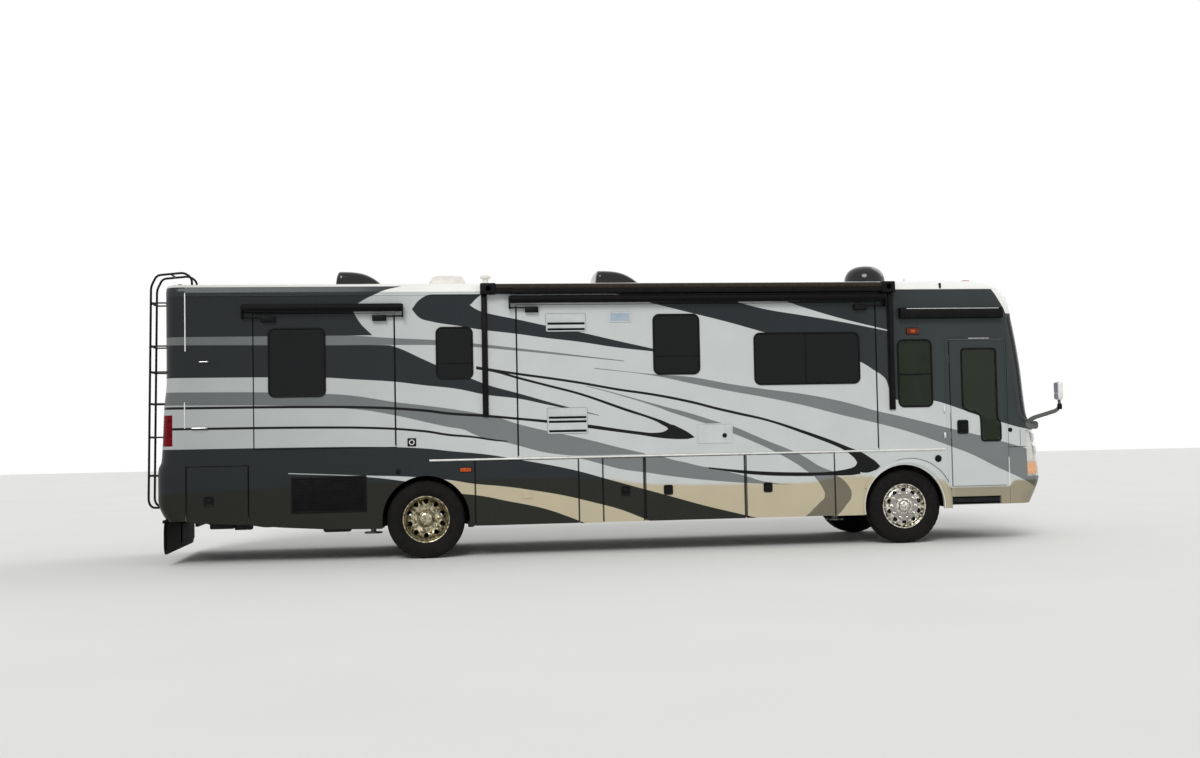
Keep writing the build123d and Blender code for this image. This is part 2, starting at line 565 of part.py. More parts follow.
# Knuckles on their kingpins
spindle_r, bore_clear = 34, pin_gap
for side, name in ((1, "left"), (-1, "right")):
    knuckle = upright(wheelbase, side * kingpin_y, kingpin_r, 385 + pin_gap, 625 - pin_gap)
    knuckle += Pos(wheelbase, side * (kingpin_y + 127), tyre_r) * Rotation(90, 0, 0) * Cylinder(spindle_r, 254)
    knuckle += Pos(wheelbase, side * (kingpin_y + 50), tyre_r) * Rotation(90, 0, 0) * Cylinder(110, 20)
    parts[name + "_knuckle"] = knuckle

# Tyres: section in radius and distance from the mid plane
tyre_section = [(tyre_bead_r, 0.34), (tyre_bead_r + 13, 0.345), (tyre_bead_r + 45, 0.45), (390, 0.5), (455, 0.47), (485, 0.42), (tyre_r, 0.34)]


def ring(points, x, y, side):
    # points give radius and outward distance from y
    face = make_face(Polyline(*[(r, d, 0) for r, d in points], close=True))
    solid = revolve(face, Axis.Y, 360)
    return Pos(x, y, tyre_r) * (Rotation(0, 0, 0) if side > 0 else Rotation(0, 0, 180)) * solid


def tyre(x, y):
    outline = [(r, -k * tyre_w) for r, k in tyre_section] + [(r, k * tyre_w) for r, k in reversed(tyre_section)]
    return ring(outline, x, y, 1)


def barrel_points(width):
    half = width / 2
    lip, well = 300, 268
    return [(lip, half), (lip, half - 10), (tyre_bead_r, half - 12), (tyre_bead_r, half - 40), (well + rim_wall, half - 62),
            (well + rim_wall, -half + 62), (tyre_bead_r, -half + 40), (tyre_bead_r, -half + 12), (lip, -half + 10),
            (lip, -half), (tyre_bead_r - rim_wall, -half), (tyre_bead_r - rim_wall, -half + 36), (well, -half + 60),
            (well, half - 60), (tyre_bead_r - rim_wall, half - 36), (tyre_bead_r - rim_wall, half)]


hand_holes, hand_hole_r, hand_hole_pitch = 10, 30, 216


def holes(x, y, side, depth):
    cut = None
    for i in range(hand_holes):
        a = 2 * math.pi * (i + 0.5) / hand_holes
        pin = Pos(x + hand_hole_pitch * math.cos(a), y, tyre_r + hand_hole_pitch * math.sin(a))
        pin = pin * Rotation(90, 0, 0) * Cylinder(hand_hole_r, depth)
        cut = pin if cut is None else cut + pin
    return cut


for side, name in ((1, "left"), (-1, "right")):
    y = side * front_tyre_y
    parts["front_" + name + "_tyre"] = tyre(wheelbase, y)
    rim = ring(barrel_points(rim_w), wheelbase, y, side)
    dish = [(spindle_r + bore_clear, 60), (105, 60), (125, 70), (280, 62), (280, 78), (125, 88), (100, 88),
            (85, 128), (60, 136), (0, 136), (0, 124), (spindle_r + bore_clear, 122)]
    rim += ring(dish, wheelbase, y, side)
    rim -= holes(wheelbase, y + side * 75, side, 60)
    parts["front_" + name + "_rim"] = rim
    parts["rear_" + name + "_tyres"] = group([tyre(0, side * d) for d in dual_tyre_y])
    duals = None
    for d in dual_tyre_y:
        wheel = ring(barrel_points(rim_w), 0, side * d, side)
        duals = wheel if duals is None else duals + wheel
    mid = sum(dual_tyre_y) / 2
    disc = [(62 + bore_clear, -12), (200, -12), (280, -66), (280, -50), (206, 0), (280, 50), (280, 66), (200, 12), (120, 12),
            (120, 95), (95, 150), (0, 150), (0, 95), (62 + bore_clear, 95)]
    duals += ring(disc, 0, side * mid, side)
    duals -= holes(0, side * mid, side, 90)
    parts["rear_" + name + "_rims"] = duals

# Cab: dashboard with steering wheel, and two seats
dash_x = cap_front_x
dash = side_plate([(dash_x + 40, floor_top), (dash_x + 340, floor_top), (dash_x + 390, 1500), (dash_x + 340, 1640),
                   (dash_x + 120, 1650), (dash_x, 1560)], 275 - half_width, half_width - 95)
dash = dash & cap_solid(front_levels, roof_front_x, front_bow, front_corner, 1, cap_thick + 8)
column = rod((dash_x + 90, 600, 1560), (dash_x - 150, 600, 1724), 28)
wheel_plane = Plane(origin=(dash_x - 160, 600, 1730), z_dir=(-0.85, 0, 0.52))
steering = wheel_plane * (Torus(205, 14) + Cylinder(60, 30) + Box(400, 34, 14) + Pos(0, 0, 0) * Box(34, 400, 14))
parts["dashboard"] = dash + column + steering
seats = []
seat_x = dash_x - 720  # rear edge of the cushions
for y in (600, -290):
    seat = block(seat_x, seat_x + 450, y - 260, y + 260, 1660, 1780)
    seat += side_plate([(seat_x, 1700), (seat_x + 110, 1700), (seat_x - 10, 2450), (seat_x - 100, 2450)], y - 250, y + 250)
    seat += side_plate([(seat_x - 105, 2450), (seat_x - 30, 2450), (seat_x - 50, 2640), (seat_x - 110, 2640)], y - 140, y + 140)
    seat += block(seat_x + 160, seat_x + 340, y - 90, y + 90, floor_top, 1660)
    for end in (-1, 1):
        seat += block(seat_x + 60, seat_x + 360, y + end * 262, y + end * 315, 1870, 1920)
        seat += block(seat_x + 60, seat_x + 100, y + end * 262, y + end * 315, 1700, 1920)
        seat += block(seat_x + 40, seat_x + 100, y + end * 240, y + end * 315, 1700, 1740)
    seats.append(seat)
parts["cab_seats"] = group(seats)

# Mirrors on arms at the front corners
mirrors = []
mirror_in = half_width + 285
for side in (-1, 1):
    arm = tube_run([(nose_x - 422, side * (half_width - 115), 1560), (nose_x - 342, side * (half_width + 15), 1625),
                    (nose_x - 152, side * mirror_in, 1760), (nose_x - 127, side * (mirror_in + 40), 1860)], 20)
    head = Pos(nose_x - 122, side * (mirror_in + 50), 1990) * Box(110, 240, 370)
    head = fillet(head.edges().filter_by(Axis.X), 45)
    mirrors.append((arm + head) - cap_solid(front_levels, roof_front_x, front_bow, front_corner, 1))
parts["mirrors"] = group(mirrors)

# Ladder up the rear and over the roof edge
rung_z = (1120, 1590, 1990, 2410, 2820, 3280)
ladder = None
for y in ladder_y:
    rail = tube_run([(-tail_x + 58, y, ladder_bottom), (ladder_x + 60, y, ladder_bottom), (ladder_x, y, ladder_bottom + 70),
                     (ladder_x, y, roof_top - 20), (ladder_x + 120, y, roof_top + 120), (cap_rear_x - 40, y, roof_top + 145),
                     (cap_rear_x + 50, y, roof_top + 80), (cap_rear_x + 55, y, roof_top - 20)], ladder_r)
    for z in rung_z:
        rail += rod((ladder_x, y, z), (-tail_x + 218, y, z), 10)
    ladder = rail if ladder is None else ladder + rail
for z in rung_z:
    ladder += rod((ladder_x, ladder_y[0], z), (ladder_x, ladder_y[1], z), ladder_r)
ladder -= cap_solid(rear_levels, -cap_rear_x, rear_bow, rear_corner, -1)
ladder -= extrude(roof_plane * make_face(Polyline(*roof_outer, close=True)), roof_length)
parts["ladder"] = ladder

# Roof fittings
ac_units = []
for x0, x1 in ((-1210, -480), (2320, 3050)):
    outline = [(x0, roof_top), (x0 + 18, roof_top + 245), (x0 + 60, roof_top + 258), (x0 + 220, roof_top + 246),
               (x0 + 400, roof_top + 203), (x1 - 130, roof_top + 110), (x1 - 15, roof_top + 40), (x1, roof_top)]
    ac_units.append(side_plate(outline, -340, 340))
parts["roof_air_units"] = group(ac_units)
base_top = roof_top + 60
vents = [block(60, 620, -260, 260, roof_top, base_top)
         + side_plate([(90, base_top), (590, base_top), (520, base_top + 130), (170, base_top + 130)], -230, 230)]
vents.append(upright(870, 0, 40, roof_top, roof_top + 160) + upright(870, 0, 75, roof_top + 160, roof_top + 210))
vents.append(block(4300, 4700, -200, 200, roof_top, roof_top + 80))
vents.append(upright(wheelbase + 530, 0, 28, roof_top, roof_top + 140))
parts["roof_vents"] = group(vents)
dome_x, dome_r, dome_h = wheelbase - 130, 395, 310
dome = upright(dome_x, 0, dome_r, roof_top, roof_top + 70)
cap_r = (dome_r ** 2 + (dome_h - 70) ** 2) / (2 * (dome_h - 70))
bulb = Pos(dome_x, 0, roof_top + dome_h - cap_r) * Sphere(cap_r)
dome += bulb & block(dome_x - 500, dome_x + 500, -500, 500, roof_top + 70, roof_top + 420)
parts["satellite_dome"] = dome

# Awnings on the right wall
case_x = (930, wheelbase - 300)
case = block(*case_x, -half_width - 105, -half_width, 3384, 3518)
case = fillet(case.edges().filter_by(Axis.X).sort_by(Axis.Y)[:2], 50)
for x0, x1 in ((case_x[0] - 200, case_x[0]), (case_x[1], case_x[1] + 185)):
    case += block(x0, x1, -half_width - 112, -half_width, 3376, 3524)
for x0, x1 in ((case_x[0] - 188, case_x[0] - 112), (case_x[1] + 92, case_x[1] + 176)):
    case += block(x0, x1, -half_width - 62, -half_width, 1800, 3376)
door_case = block(wheelbase - 50, door_x1 - 52, -half_width - 105, -half_width, 3022, 3168)
door_case = fillet(door_case.edges().filter_by(Axis.X).sort_by(Axis.Y)[:2], 48)
parts["awnings"] = group([case, door_case])

for mark in range(4, 14):
    markers[mark] = markers[mark] - cap_solid(front_levels, roof_front_x, front_bow, front_corner, 1)
    markers[mark] = markers[mark] - cap_solid(rear_levels, -cap_rear_x, rear_bow, rear_corner, -1)
parts["marker_lamps"] = group(markers)
parts["floor_deck"] = deck + step_box

os.makedirs("parts", exist_ok=True)
for name, shape in parts.items():
    export_step(Pos(-centre_x, 0, 0) * shape, "parts/" + name + ".step")
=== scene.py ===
import bpy
import bmesh
import json
import math
import numpy as np
from mathutils import Matrix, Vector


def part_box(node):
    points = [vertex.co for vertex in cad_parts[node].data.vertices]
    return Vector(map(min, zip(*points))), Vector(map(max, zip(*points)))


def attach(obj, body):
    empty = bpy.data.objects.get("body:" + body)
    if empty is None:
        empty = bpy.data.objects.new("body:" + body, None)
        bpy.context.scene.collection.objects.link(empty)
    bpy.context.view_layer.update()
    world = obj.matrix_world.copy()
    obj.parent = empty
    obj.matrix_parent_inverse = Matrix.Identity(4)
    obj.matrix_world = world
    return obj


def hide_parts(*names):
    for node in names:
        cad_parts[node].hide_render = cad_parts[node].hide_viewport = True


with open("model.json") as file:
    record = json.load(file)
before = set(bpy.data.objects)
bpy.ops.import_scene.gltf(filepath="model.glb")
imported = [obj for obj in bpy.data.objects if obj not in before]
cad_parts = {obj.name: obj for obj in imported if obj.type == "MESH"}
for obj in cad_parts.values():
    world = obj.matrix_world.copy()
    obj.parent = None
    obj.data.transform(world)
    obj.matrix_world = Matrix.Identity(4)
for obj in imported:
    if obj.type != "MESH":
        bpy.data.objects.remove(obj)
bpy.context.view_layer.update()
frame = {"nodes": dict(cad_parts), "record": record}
cadNodes = frame["nodes"]

# Lengths are metres. x0 is the rear axle; the tables below give x forward from it and z up from the ground.
x0 = sum(corner[0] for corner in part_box("rear_right_tyres")) / 2
xFront = sum(corner[0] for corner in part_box("front_right_tyre")) / 2 - x0
wallY = -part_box("right_wall")[0][1]  # half the body's width


# Small tools


def hexColour(text):
    # a screen colour in six hexadecimal digits as linear light: ((v + 0.055) / 1.055) ^ 2.4 for each part
    values = [int(text[i:i + 2], 16) / 255 for i in (0, 2, 4)]
    return tuple(v / 12.92 if v <= 0.04045 else ((v + 0.055) / 1.055) ** 2.4 for v in values) + (1,)


def addNode(tree, kind, settings=None, inputs=(), output=0):
    # one shader node with its settings and the values or sockets that feed it; gives one of its outputs
    node = tree.nodes.new("ShaderNode" + kind)
    for key, value in (settings or {}).items():
        setattr(node, key, value)
    for key, value in inputs.items() if isinstance(inputs, dict) else enumerate(inputs):
        if isinstance(value, bpy.types.NodeSocket):
            tree.links.new(value, node.inputs[key])
        else:
            node.inputs[key].default_value = value
    return node.outputs[output] if node.outputs else node


def newMaterial(name):
    # an empty node material with its shader node
    material = bpy.data.materials.new(name)
    material.use_nodes = True
    tree = material.node_tree
    tree.nodes.clear()
    shader = addNode(tree, "BsdfPrincipled")
    addNode(tree, "OutputMaterial", None, {"Surface": shader})
    return material, tree, shader.node


def setInputs(tree, shader, values):
    # values or sockets for the named inputs of a material's shader
    for key, value in values.items():
        if isinstance(value, bpy.types.NodeSocket):
            tree.links.new(value, shader.inputs[key])
        else:
            shader.inputs[key].default_value = value


def addObject(name, data):
    # a mesh, lamp or camera as an object of the scene
    thing = bpy.data.objects.new(name, data)
    bpy.context.scene.collection.objects.link(thing)
    return thing


def readMesh(mesh):
    # a mesh as an array of vertices and a list of faces
    verts = np.zeros(len(mesh.vertices) * 3)
    mesh.vertices.foreach_get("co", verts)
    return verts.reshape(-1, 3), [list(face.vertices) for face in mesh.polygons]


def joinPieces(name, pieces, weld=0.0):
    # one mesh: each piece's face indices are shifted by the vertices before it, and the faces are turned outwards
    verts, faces, base = [], [], 0
    for v, f in pieces:
        verts.append(np.asarray(v, float).reshape(-1, 3))
        faces += [[int(i) + base for i in face] for face in f]
        base += len(verts[-1])
    mesh = bpy.data.meshes.new(name)
    mesh.from_pydata(np.vstack(verts).tolist(), [], faces)
    work = bmesh.new()
    work.from_mesh(mesh)
    if weld:
        bmesh.ops.remove_doubles(work, verts=work.verts, dist=weld)
    bmesh.ops.recalc_face_normals(work, faces=work.faces)
    work.to_mesh(mesh)
    work.free()
    return mesh


def addPiece(name, pieces, finish, body, replaced=(), angle=32):
    # one object from one or more closed surfaces, edges sharper than angle kept sharp; it takes the finish's
    # material
    mesh = joinPieces(name, pieces, weld=1e-6)
    mesh.shade_smooth()
    mesh.set_sharp_from_angle(angle=math.radians(angle))
    mesh.materials.append(materials[finish])
    thing = addObject(name, mesh)
    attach(thing, body)
    if replaced:
        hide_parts(*replaced)
    return thing


def camelCase(name):
    # right_bay_door_2 becomes rightBayDoor2
    first, *rest = name.split("_")
    return first + "".join(word.title() for word in rest)


def ringFaces(rings, points, closeRings=False):
    # quads between neighbouring rings of a (rings, points) grid, with an n-gon at each open end
    r = np.arange(rings if closeRings else rings - 1)[:, None]
    p = np.arange(points)[None, :]
    a = r * points + p
    b = r * points + (p + 1) % points
    c = ((r + 1) % rings) * points + (p + 1) % points
    d = ((r + 1) % rings) * points + p
    faces = np.stack([a, b, c, d], -1).reshape(-1, 4).tolist()
    if not closeRings:
        faces += [list(range(points))[::-1], list(range((rings - 1) * points, rings * points))]
    return faces


def roundedOutline(a0, a1, b0, b1, radius, steps=6):
    # four quarter circles of the given radius, joined by straight sides, counter-clockwise
    radius = min(radius, (a1 - a0) / 2 - 1e-5, (b1 - b0) / 2 - 1e-5)
    t = np.linspace(0, math.pi / 2, steps)
    corners = [(a1 - radius, b1 - radius, 0), (a0 + radius, b1 - radius, 1),
               (a0 + radius, b0 + radius, 2), (a1 - radius, b0 + radius, 3)]
    return np.vstack([np.c_[a + radius * np.cos(t + k * math.pi / 2), b + radius * np.sin(t + k * math.pi / 2)]
                      for a, b, k in corners])


def insetOutline(outline, distance):
    # each corner moves along the bisector of its two edges so that both edges shift inwards by distance
    before, after = outline - np.roll(outline, 1, 0), np.roll(outline, -1, 0) - outline
    before /= np.linalg.norm(before, axis=1)[:, None] + 1e-12
    after /= np.linalg.norm(after, axis=1)[:, None] + 1e-12
    n1, n2 = np.c_[-before[:, 1], before[:, 0]], np.c_[-after[:, 1], after[:, 0]]
    mid = n1 + n2
    mid /= np.linalg.norm(mid, axis=1)[:, None] + 1e-12
    return outline + mid * (distance / np.maximum((mid * n1).sum(1), 0.5))[:, None]


def insetRings(outline, rows, wall):
    # one ring of the outline for each (height, inset): x and z along the right or left wall, height out of it
    grid = np.stack([np.c_[insetOutline(outline, inset), np.full(len(outline), height)] for height,
                     inset in rows])
    side = -1 if wall == "right" else 1
    return np.stack([grid[..., 0] + x0, side * (wallY + grid[..., 2]), grid[..., 1]], -1).reshape(-1, 3)


def moulding(outline, levels, wall="right"):
    # rings of one outline, each inset by its own distance and standing out by its own height, closed at both ends
    return insetRings(outline, levels, wall), ringFaces(len(levels), len(outline))


def surround(outline, section, wall="right"):
    # a closed section (height, inset) carried round an outline, as a frame or gasket
    return insetRings(outline, section, wall), ringFaces(len(section), len(outline), closeRings=True)


def softBlock(lo, hi, radius, axis=1, steps=4):
    # a box with all edges rounded: rounded outlines stacked along axis, inset at both ends by 1 - cos of the edge
    u, v = [k for k in range(3) if k != axis]
    outline = roundedOutline(lo[u], hi[u], lo[v], hi[v], radius * 1.2, 5)
    radius = min(radius, (hi[axis] - lo[axis]) / 2 - 1e-5)
    t = np.linspace(0, math.pi / 2, steps)
    levels = list(zip(lo[axis] + radius * (1 - np.sin(t)), radius * (1 - np.cos(t))))[::-1]
    levels += list(zip(hi[axis] - radius * (1 - np.sin(t)), radius * (1 - np.cos(t))))
    rings = []
    for height, inset in levels:
        ring = np.zeros((len(outline), 3))
        ring[:, [u, v]] = insetOutline(outline, inset)
        ring[:, axis] = height
        rings.append(ring)
    return np.vstack(rings), ringFaces(len(rings), len(outline))


def bend(before, corner, after, radius, steps):
    # a quadratic curve that leaves and meets the two straights at radius from their corner
    a, b = before - corner, after - corner
    a = a * min(radius, np.linalg.norm(a) * 0.48) / np.linalg.norm(a)
    b = b * min(radius, np.linalg.norm(b) * 0.48) / np.linalg.norm(b)
    t = np.linspace(0, 1, steps)[:, None]
    return corner + a * (1 - t) ** 2 + b * t ** 2


def smoothPath(points, radius, steps=6):
    # an open polyline with its corners turned into curves
    points = np.asarray(points, float)
    bends = [bend(*three, radius, steps) for three in zip(points, points[1:], points[2:])]
    return np.vstack([points[:1], *bends, points[-1:]])


def roundPolygon(points, radius, steps=6):
    # a closed polyline with its corners turned into curves, counter-clockwise
    points = np.asarray(points, float)
    corners = zip(np.roll(points, 1, 0), points, np.roll(points, -1, 0))
    outline = np.vstack([bend(*three, radius, steps) for three in corners])
    area = (outline[:, 0] * np.roll(outline[:, 1], -1) - outline[:, 1] * np.roll(outline[:, 0], -1)).sum()
    return outline if area > 0 else outline[::-1]


def tube(points, radius, sides=12):
    # circles of the given radius square to a path, their start direction carried along without twist
    points = np.asarray(points, float)
    ahead = np.gradient(points, axis=0)
    ahead /= np.linalg.norm(ahead, axis=1)[:, None]
    side = np.cross(ahead[0], [0.0, 0.0, 1.0] if abs(ahead[0][2]) < 0.9 else [1.0, 0.0, 0.0])
    turned = []
    for direction in ahead:
        side = side - direction * (side @ direction)
        side /= np.linalg.norm(side)
        turned.append(side)
    across = np.stack(turned)
    up = np.cross(across, ahead)
    t = np.arange(sides) * 2 * math.pi / sides
    radius = np.broadcast_to(radius, len(points))[:, None, None]
    ring = np.cos(t)[None, :, None] * across[:, None] + np.sin(t)[None, :, None] * up[:, None]
    return (points[:, None] + radius * ring).reshape(-1, 3), ringFaces(len(points), sides)


def lathe(profile, centre, axis=1, steps=64):
    # a closed profile of (radius, distance along the axis) turned about the axis
    profile = np.asarray(profile, float)
    t = np.arange(steps) * 2 * math.pi / steps
    u, v = [k for k in range(3) if k != axis]
    grid = np.zeros((steps, len(profile), 3))
    grid[..., u] = centre[u] + np.cos(t)[:, None] * profile[None, :, 0]
    grid[..., v] = centre[v] + np.sin(t)[:, None] * profile[None, :, 0]
    grid[..., axis] = centre[axis] + profile[None, :, 1]
    return grid.reshape(-1, 3), ringFaces(steps, len(profile), closeRings=True)


def carve(pieces, cutters, operation="DIFFERENCE"):
    # the first solids less the second ones, or what both share, by an exact boolean; gives vertices and faces
    solid, knife = (addObject("carving", joinPieces("carving", parts)) for parts in (pieces, cutters))
    cut = solid.modifiers.new("cut", "BOOLEAN")
    cut.operation, cut.solver, cut.object = operation, "EXACT", knife
    bpy.context.view_layer.update()
    result = readMesh(solid.evaluated_get(bpy.context.evaluated_depsgraph_get()).to_mesh())
    for thing in (solid, knife):
        bpy.data.objects.remove(thing)
    return result


def solidBlock(lo, hi):
    # a plain box between two corners
    corners = np.array([[(hi if (i >> k) & 1 else lo)[k] for k in range(3)] for i in range(8)], float)
    return corners, [[0, 2, 3, 1], [4, 5, 7, 6], [0, 1, 5, 4], [2, 6, 7, 3], [0, 4, 6, 2], [1, 3, 7, 5]]


def fit(xa, xb, ya, yb, za, zb):
    # a plain box, x from the rear axle
    return solidBlock((xa + x0, ya, za), (xb + x0, yb, zb))


def softFit(xa, xb, ya, yb, za, zb, radius, axis=1, steps=4):
    # a box with rounded edges, x from the rear axle
    return softBlock((xa + x0, ya, za), (xb + x0, yb, zb), radius, axis, steps)


def knob(profile, x, z, out=0.0, steps=28):
    # a profile (radius, height) turned about a line square to the right wall
    return lathe([(radius, -height) for radius, height in profile], (x + x0, -wallY - out, z), steps=steps)


def prism(outline, xa, xb):
    # an outline in (y, z) carried from xa to xb
    grid = np.stack([np.c_[np.full(len(outline), x + x0), outline] for x in (xa, xb)])
    return grid.reshape(-1, 3), ringFaces(2, len(outline))


# Body paint: silver with charcoal, grey and black bands, drawn on x along the coach and on z
paintColours = {"silver": "C2C6C5", "charcoal": "25292B", "grey": "757979", "black": "0A0B0C",
                "slate": "33393A", "roofWhite": "F0F0EC"}
edgeBlur = 0.004  # softness of a masked paint edge
blackGrowth = 0.004  # the black pinstripes are this much wider at each side than their measured curves

